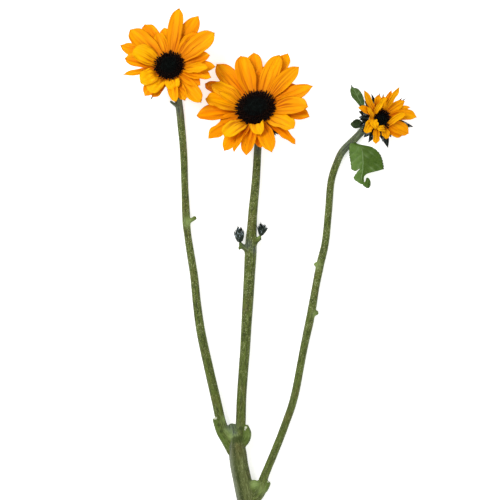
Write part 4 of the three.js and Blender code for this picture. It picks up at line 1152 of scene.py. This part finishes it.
def leaf_finish(name, left, right, vein_colour, tip_colour):
    """A leaf: one half darker than the other by painted shade, mottled and clouded, with a faint
    net, side veins that fade in and out, a pale rib, a darker, yellower line along its edge, a
    point of its own colour, and a paler underside."""
    finish = Finish(name, 0.55, Specular_IOR_Level=0.12, Sheen_Weight=0.03)
    along, across, under, vein, rib = finish.marks("along", "across", "under", "vein", "rib")
    mottle, cloud, net = finish.noise(260, 4.0, 0.6), finish.noise(90), finish.dots(700)
    seen = along.between(0.05, 0.3) * (1 - along.between(0.85, 0.97))
    base = finish.coats(
        left,
        # painted shade: the second half darker, as if turned away from the light
        (across.between(-0.1, 0.1), right),
        (mottle.between(0.35, 0.75) * 0.4, "2c4710"),
        (cloud.between(0.45, 0.7) * 0.25, "6f9046"),
        (net.between(0.25, 0.6) * 0.05, "9fb86f"),
        (vein * cloud.between(0.3, 0.7) * 0.35, vein_colour),
        (rib.between(0.2, 0.9) * seen * 0.6, vein_colour),
        ((across * across).between(0.84, 0.97) * 0.6, "34440f"),
        (along.between(0.9, 0.97) * 0.8, tip_colour),
        (under * 0.5, "7d9262"),
    )
    return finish.paint(base, relief=net * 0.5 + finish.noise(1500, 3.0) * 0.5, depth=0.0003)


def stalk_finish():
    """The stalk: olive green, greyer on the main stalk, with darker streaks, pale mottling, brown
    clouds, a dark band, grey sides, and dark and pale specks. Stubs are a fresher green, and so
    are the patches of it, which on one stub's end are partly a painted highlight. Then come dark
    scars, partly painted shade in the creases where stalks and stubs meet, grey dust with dark
    furrows in it, and the pale pith of torn stubs and of the cut end."""
    finish = Finish("stalk_green", Specular_IOR_Level=0.2, Sheen_Weight=0.08)
    (grain,) = finish.marks("grain", output="Vector")
    main, band, side, amount, stub, fresh_and_highlight, scar_and_shade, dust, torn, cut = finish.marks(
        "main", "band", "side", "speckled", "stub", "fresh_and_highlight", "scar_and_shade", "dust", "pith", "cut")
    streak, mottle = (finish.noise(scale, detail, 0.6, vector=grain)
                      for scale, detail in ((0.9, 4.0), (3.4, 3.0)))
    cloud, patch = finish.noise(45, 3.0), finish.noise(110)
    dark = 1 - finish.dots(400).between(0.22, 0.5)
    pale = 1 - finish.dots(560).between(0.18, 0.42)
    pales = pale * (1 - patch.between(0.42, 0.62)) * mottle.between(0.3, 0.55) * amount
    pith = finish.coats("c9cdb0", (finish.noise(900, 3.0), "e4e7d4"))
    base = finish.coats(
        "56651f",
        (main, "5c6434"),
        (streak.between(0.42, 0.62) * 0.9, "3a440e"),
        (mottle.between(0.5, 0.68) * 0.65, "8f995e"),
        (cloud.between(0.5, 0.75) * 0.3, "6a5a2a"),
        (band * (0.35 + streak * 0.8), "2e390a"),
        (side * (0.1 + mottle * 0.9), "747a6a"),
        (dark * patch.between(0.32, 0.55) * amount * 0.75, "28340a"),
        (pales * 0.75, "b3ba88"),
        (stub * 0.5 * mottle, "5b7c2e"),
        # fresh green patches, and on one stub's end a painted highlight
        (fresh_and_highlight * (0.25 + mottle * 0.7), "9db56c"),
        # dark scars, and painted shade in the creases where stalks and stubs meet
        (scar_and_shade.between(0.1, 0.8) * 0.8, "36440f"),
        (dust * (0.1 + mottle * 0.8), "727d78"),
        (dust * streak.between(0.46, 0.56) * 0.75, "2c3326"),
        (torn.between(0.3, 0.7) * 0.8, pith),
        (cut, pith),
    )
    return finish.paint(base, relief=streak * 0.4 + mottle * 0.3 + pale * 0.3, depth=0.0005)


def hair_finish():
    """Fine pale hairs, greener at the foot."""
    finish = Finish("hair_pale", Specular_IOR_Level=0.1)
    (tip,) = finish.marks("tip")
    return finish.paint(finish.coats("75825a", (tip.between(0.0, 0.7), "b7bd98")))


# ---- Making the pieces ----


def piece(name, shape, material, slot, *nodes):
    """A finished piece: its mesh in place in metres, no lower than the table, and its marks."""
    points = (shape.points + SHIFT) * MM
    points[:, 2] = np.maximum(points[:, 2], 0)
    made = add_mesh(name, points, shape.faces())
    mesh = made.data
    for mark, values in shape.marks.items():
        kind, field = ("FLOAT_VECTOR", "vector") if values.ndim == 2 else ("FLOAT", "value")
        data = mesh.attributes.new(mark, kind, "POINT").data
        data.foreach_set(field, np.ascontiguousarray(values, np.float32).ravel())
    mesh.shade_smooth()
    mesh.materials.append(material)
    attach(made, "root")
    if nodes:
        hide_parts(*nodes)


def make_stalk(fuzz):
    """The stalk with its branches and stubs, and the short hairs on it."""
    random = np.random.default_rng(7)
    shape = whole_stalk()
    piece("stalk", shape, stalk_finish(), "stalk", "stem")
    piece("stalk_hairs", hairs(shape, random, **HAIRS["stalk"]), fuzz, "stalk")


def make_heads(fuzz):
    """The petals, disc, bracts and their hairs of each head."""
    orange, black = petal_finish(), disc_finish()
    green = bract_finish("bract_dark", "060b0c", "1f2c26")
    for seed, (name, head) in enumerate(HEADS.items()):
        random = np.random.default_rng(40 + seed)
        turn = stood_along(head.axis)
        rays, florets, cup = (make(head, random).placed(turn, head.place)
                              for make in (petals, disc, bracts))
        hairy = hairs(cup, random, **HAIRS["bract"])
        piece(f"{name}_petals", rays, orange, "petal", f"{name}_head_rays")
        piece(f"{name}_disc_florets", florets, black, "disc", f"{name}_head_disc")
        piece(f"{name}_bracts", cup, green, "bract", f"{name}_head_bracts")
        piece(f"{name}_bract_hairs", hairy, fuzz, "bract")


def make_leaves():
    """The three small leaves, the torn one with its curled tip."""
    for name, (node, rows, runs, veins, teeth, colours) in LEAVES.items():
        piece(name, leaf(rows, runs, veins, teeth), leaf_finish(*colours), "leaf", node)


def make_buds(fuzz):
    """The two buds and their hairs."""
    green = bract_finish("bud_dark", "04090a", "18241f")
    for seed, (name, sizes) in enumerate(BUDS.items()):
        random = np.random.default_rng(60 + seed)
        turn = stood_along(direction(sizes.rise, sizes.towards))
        coat = bud(sizes, random).placed(turn, np.array(sizes.base))
        piece(f"{name}_bracts", coat, green, "bud", name)
        piece(f"{name}_hairs", hairs(coat, random, **HAIRS["bud"]), fuzz, "bud")


# ---- Floor, light and camera ----


def set_stage():
    """A pale floor that glows a little, two soft lights, a pale sky, and the camera straight
    above."""
    far = FLOOR_REACH
    floor = add_mesh("floor", [(-far, -far, 0), (far, -far, 0), (far, far, 0), (-far, far, 0)],
                     [(0, 1, 2, 3)])
    finish = Finish("floor_pale", 0.9, Specular_IOR_Level=0.1, Emission_Color=(1, 1, 1, 1),
                    Emission_Strength=FLOOR_GLOW)
    floor.data.materials.append(finish.paint(
        finish.coats("f0f0ee", (finish.noise(3.0), "f4f4f2"))))

    middle = SHIFT * MM
    for name, (place, size, power) in LIGHTS.items():
        lamp = bpy.data.lights.new(name, "AREA")
        lamp.size = size
        lamp.energy = power
        holder = add(name, lamp)
        holder.location = place
        toward = Vector(middle) - holder.location
        holder.rotation_euler = toward.to_track_quat("-Z", "Y").to_euler()

    world = bpy.data.worlds.new("pale_sky")
    world.use_nodes = True
    sky = world.node_tree.nodes["Background"]
    sky.inputs["Color"].default_value = (1, 1, 1, 1)
    sky.inputs["Strength"].default_value = SKY_GLOW
    bpy.context.scene.world = world

    lens = bpy.data.cameras.new("camera")
    lens.sensor_width = SENSOR
    lens.lens = SENSOR * VIEW_HEIGHT / FRAME_WIDTH
    camera = add("camera", lens)
    camera.location = (middle[0], middle[1], VIEW_HEIGHT)
    bpy.context.scene.camera = camera
    bpy.context.scene.view_settings.view_transform = "Standard"


for head_ in HEADS.values():
    head_.place = np.array(head_.centre, float)
    head_.axis = direction(90 - head_.lean, head_.towards)

hair_pale = hair_finish()
make_stalk(hair_pale)
make_heads(hair_pale)
make_leaves()
make_buds(hair_pale)
set_stage()
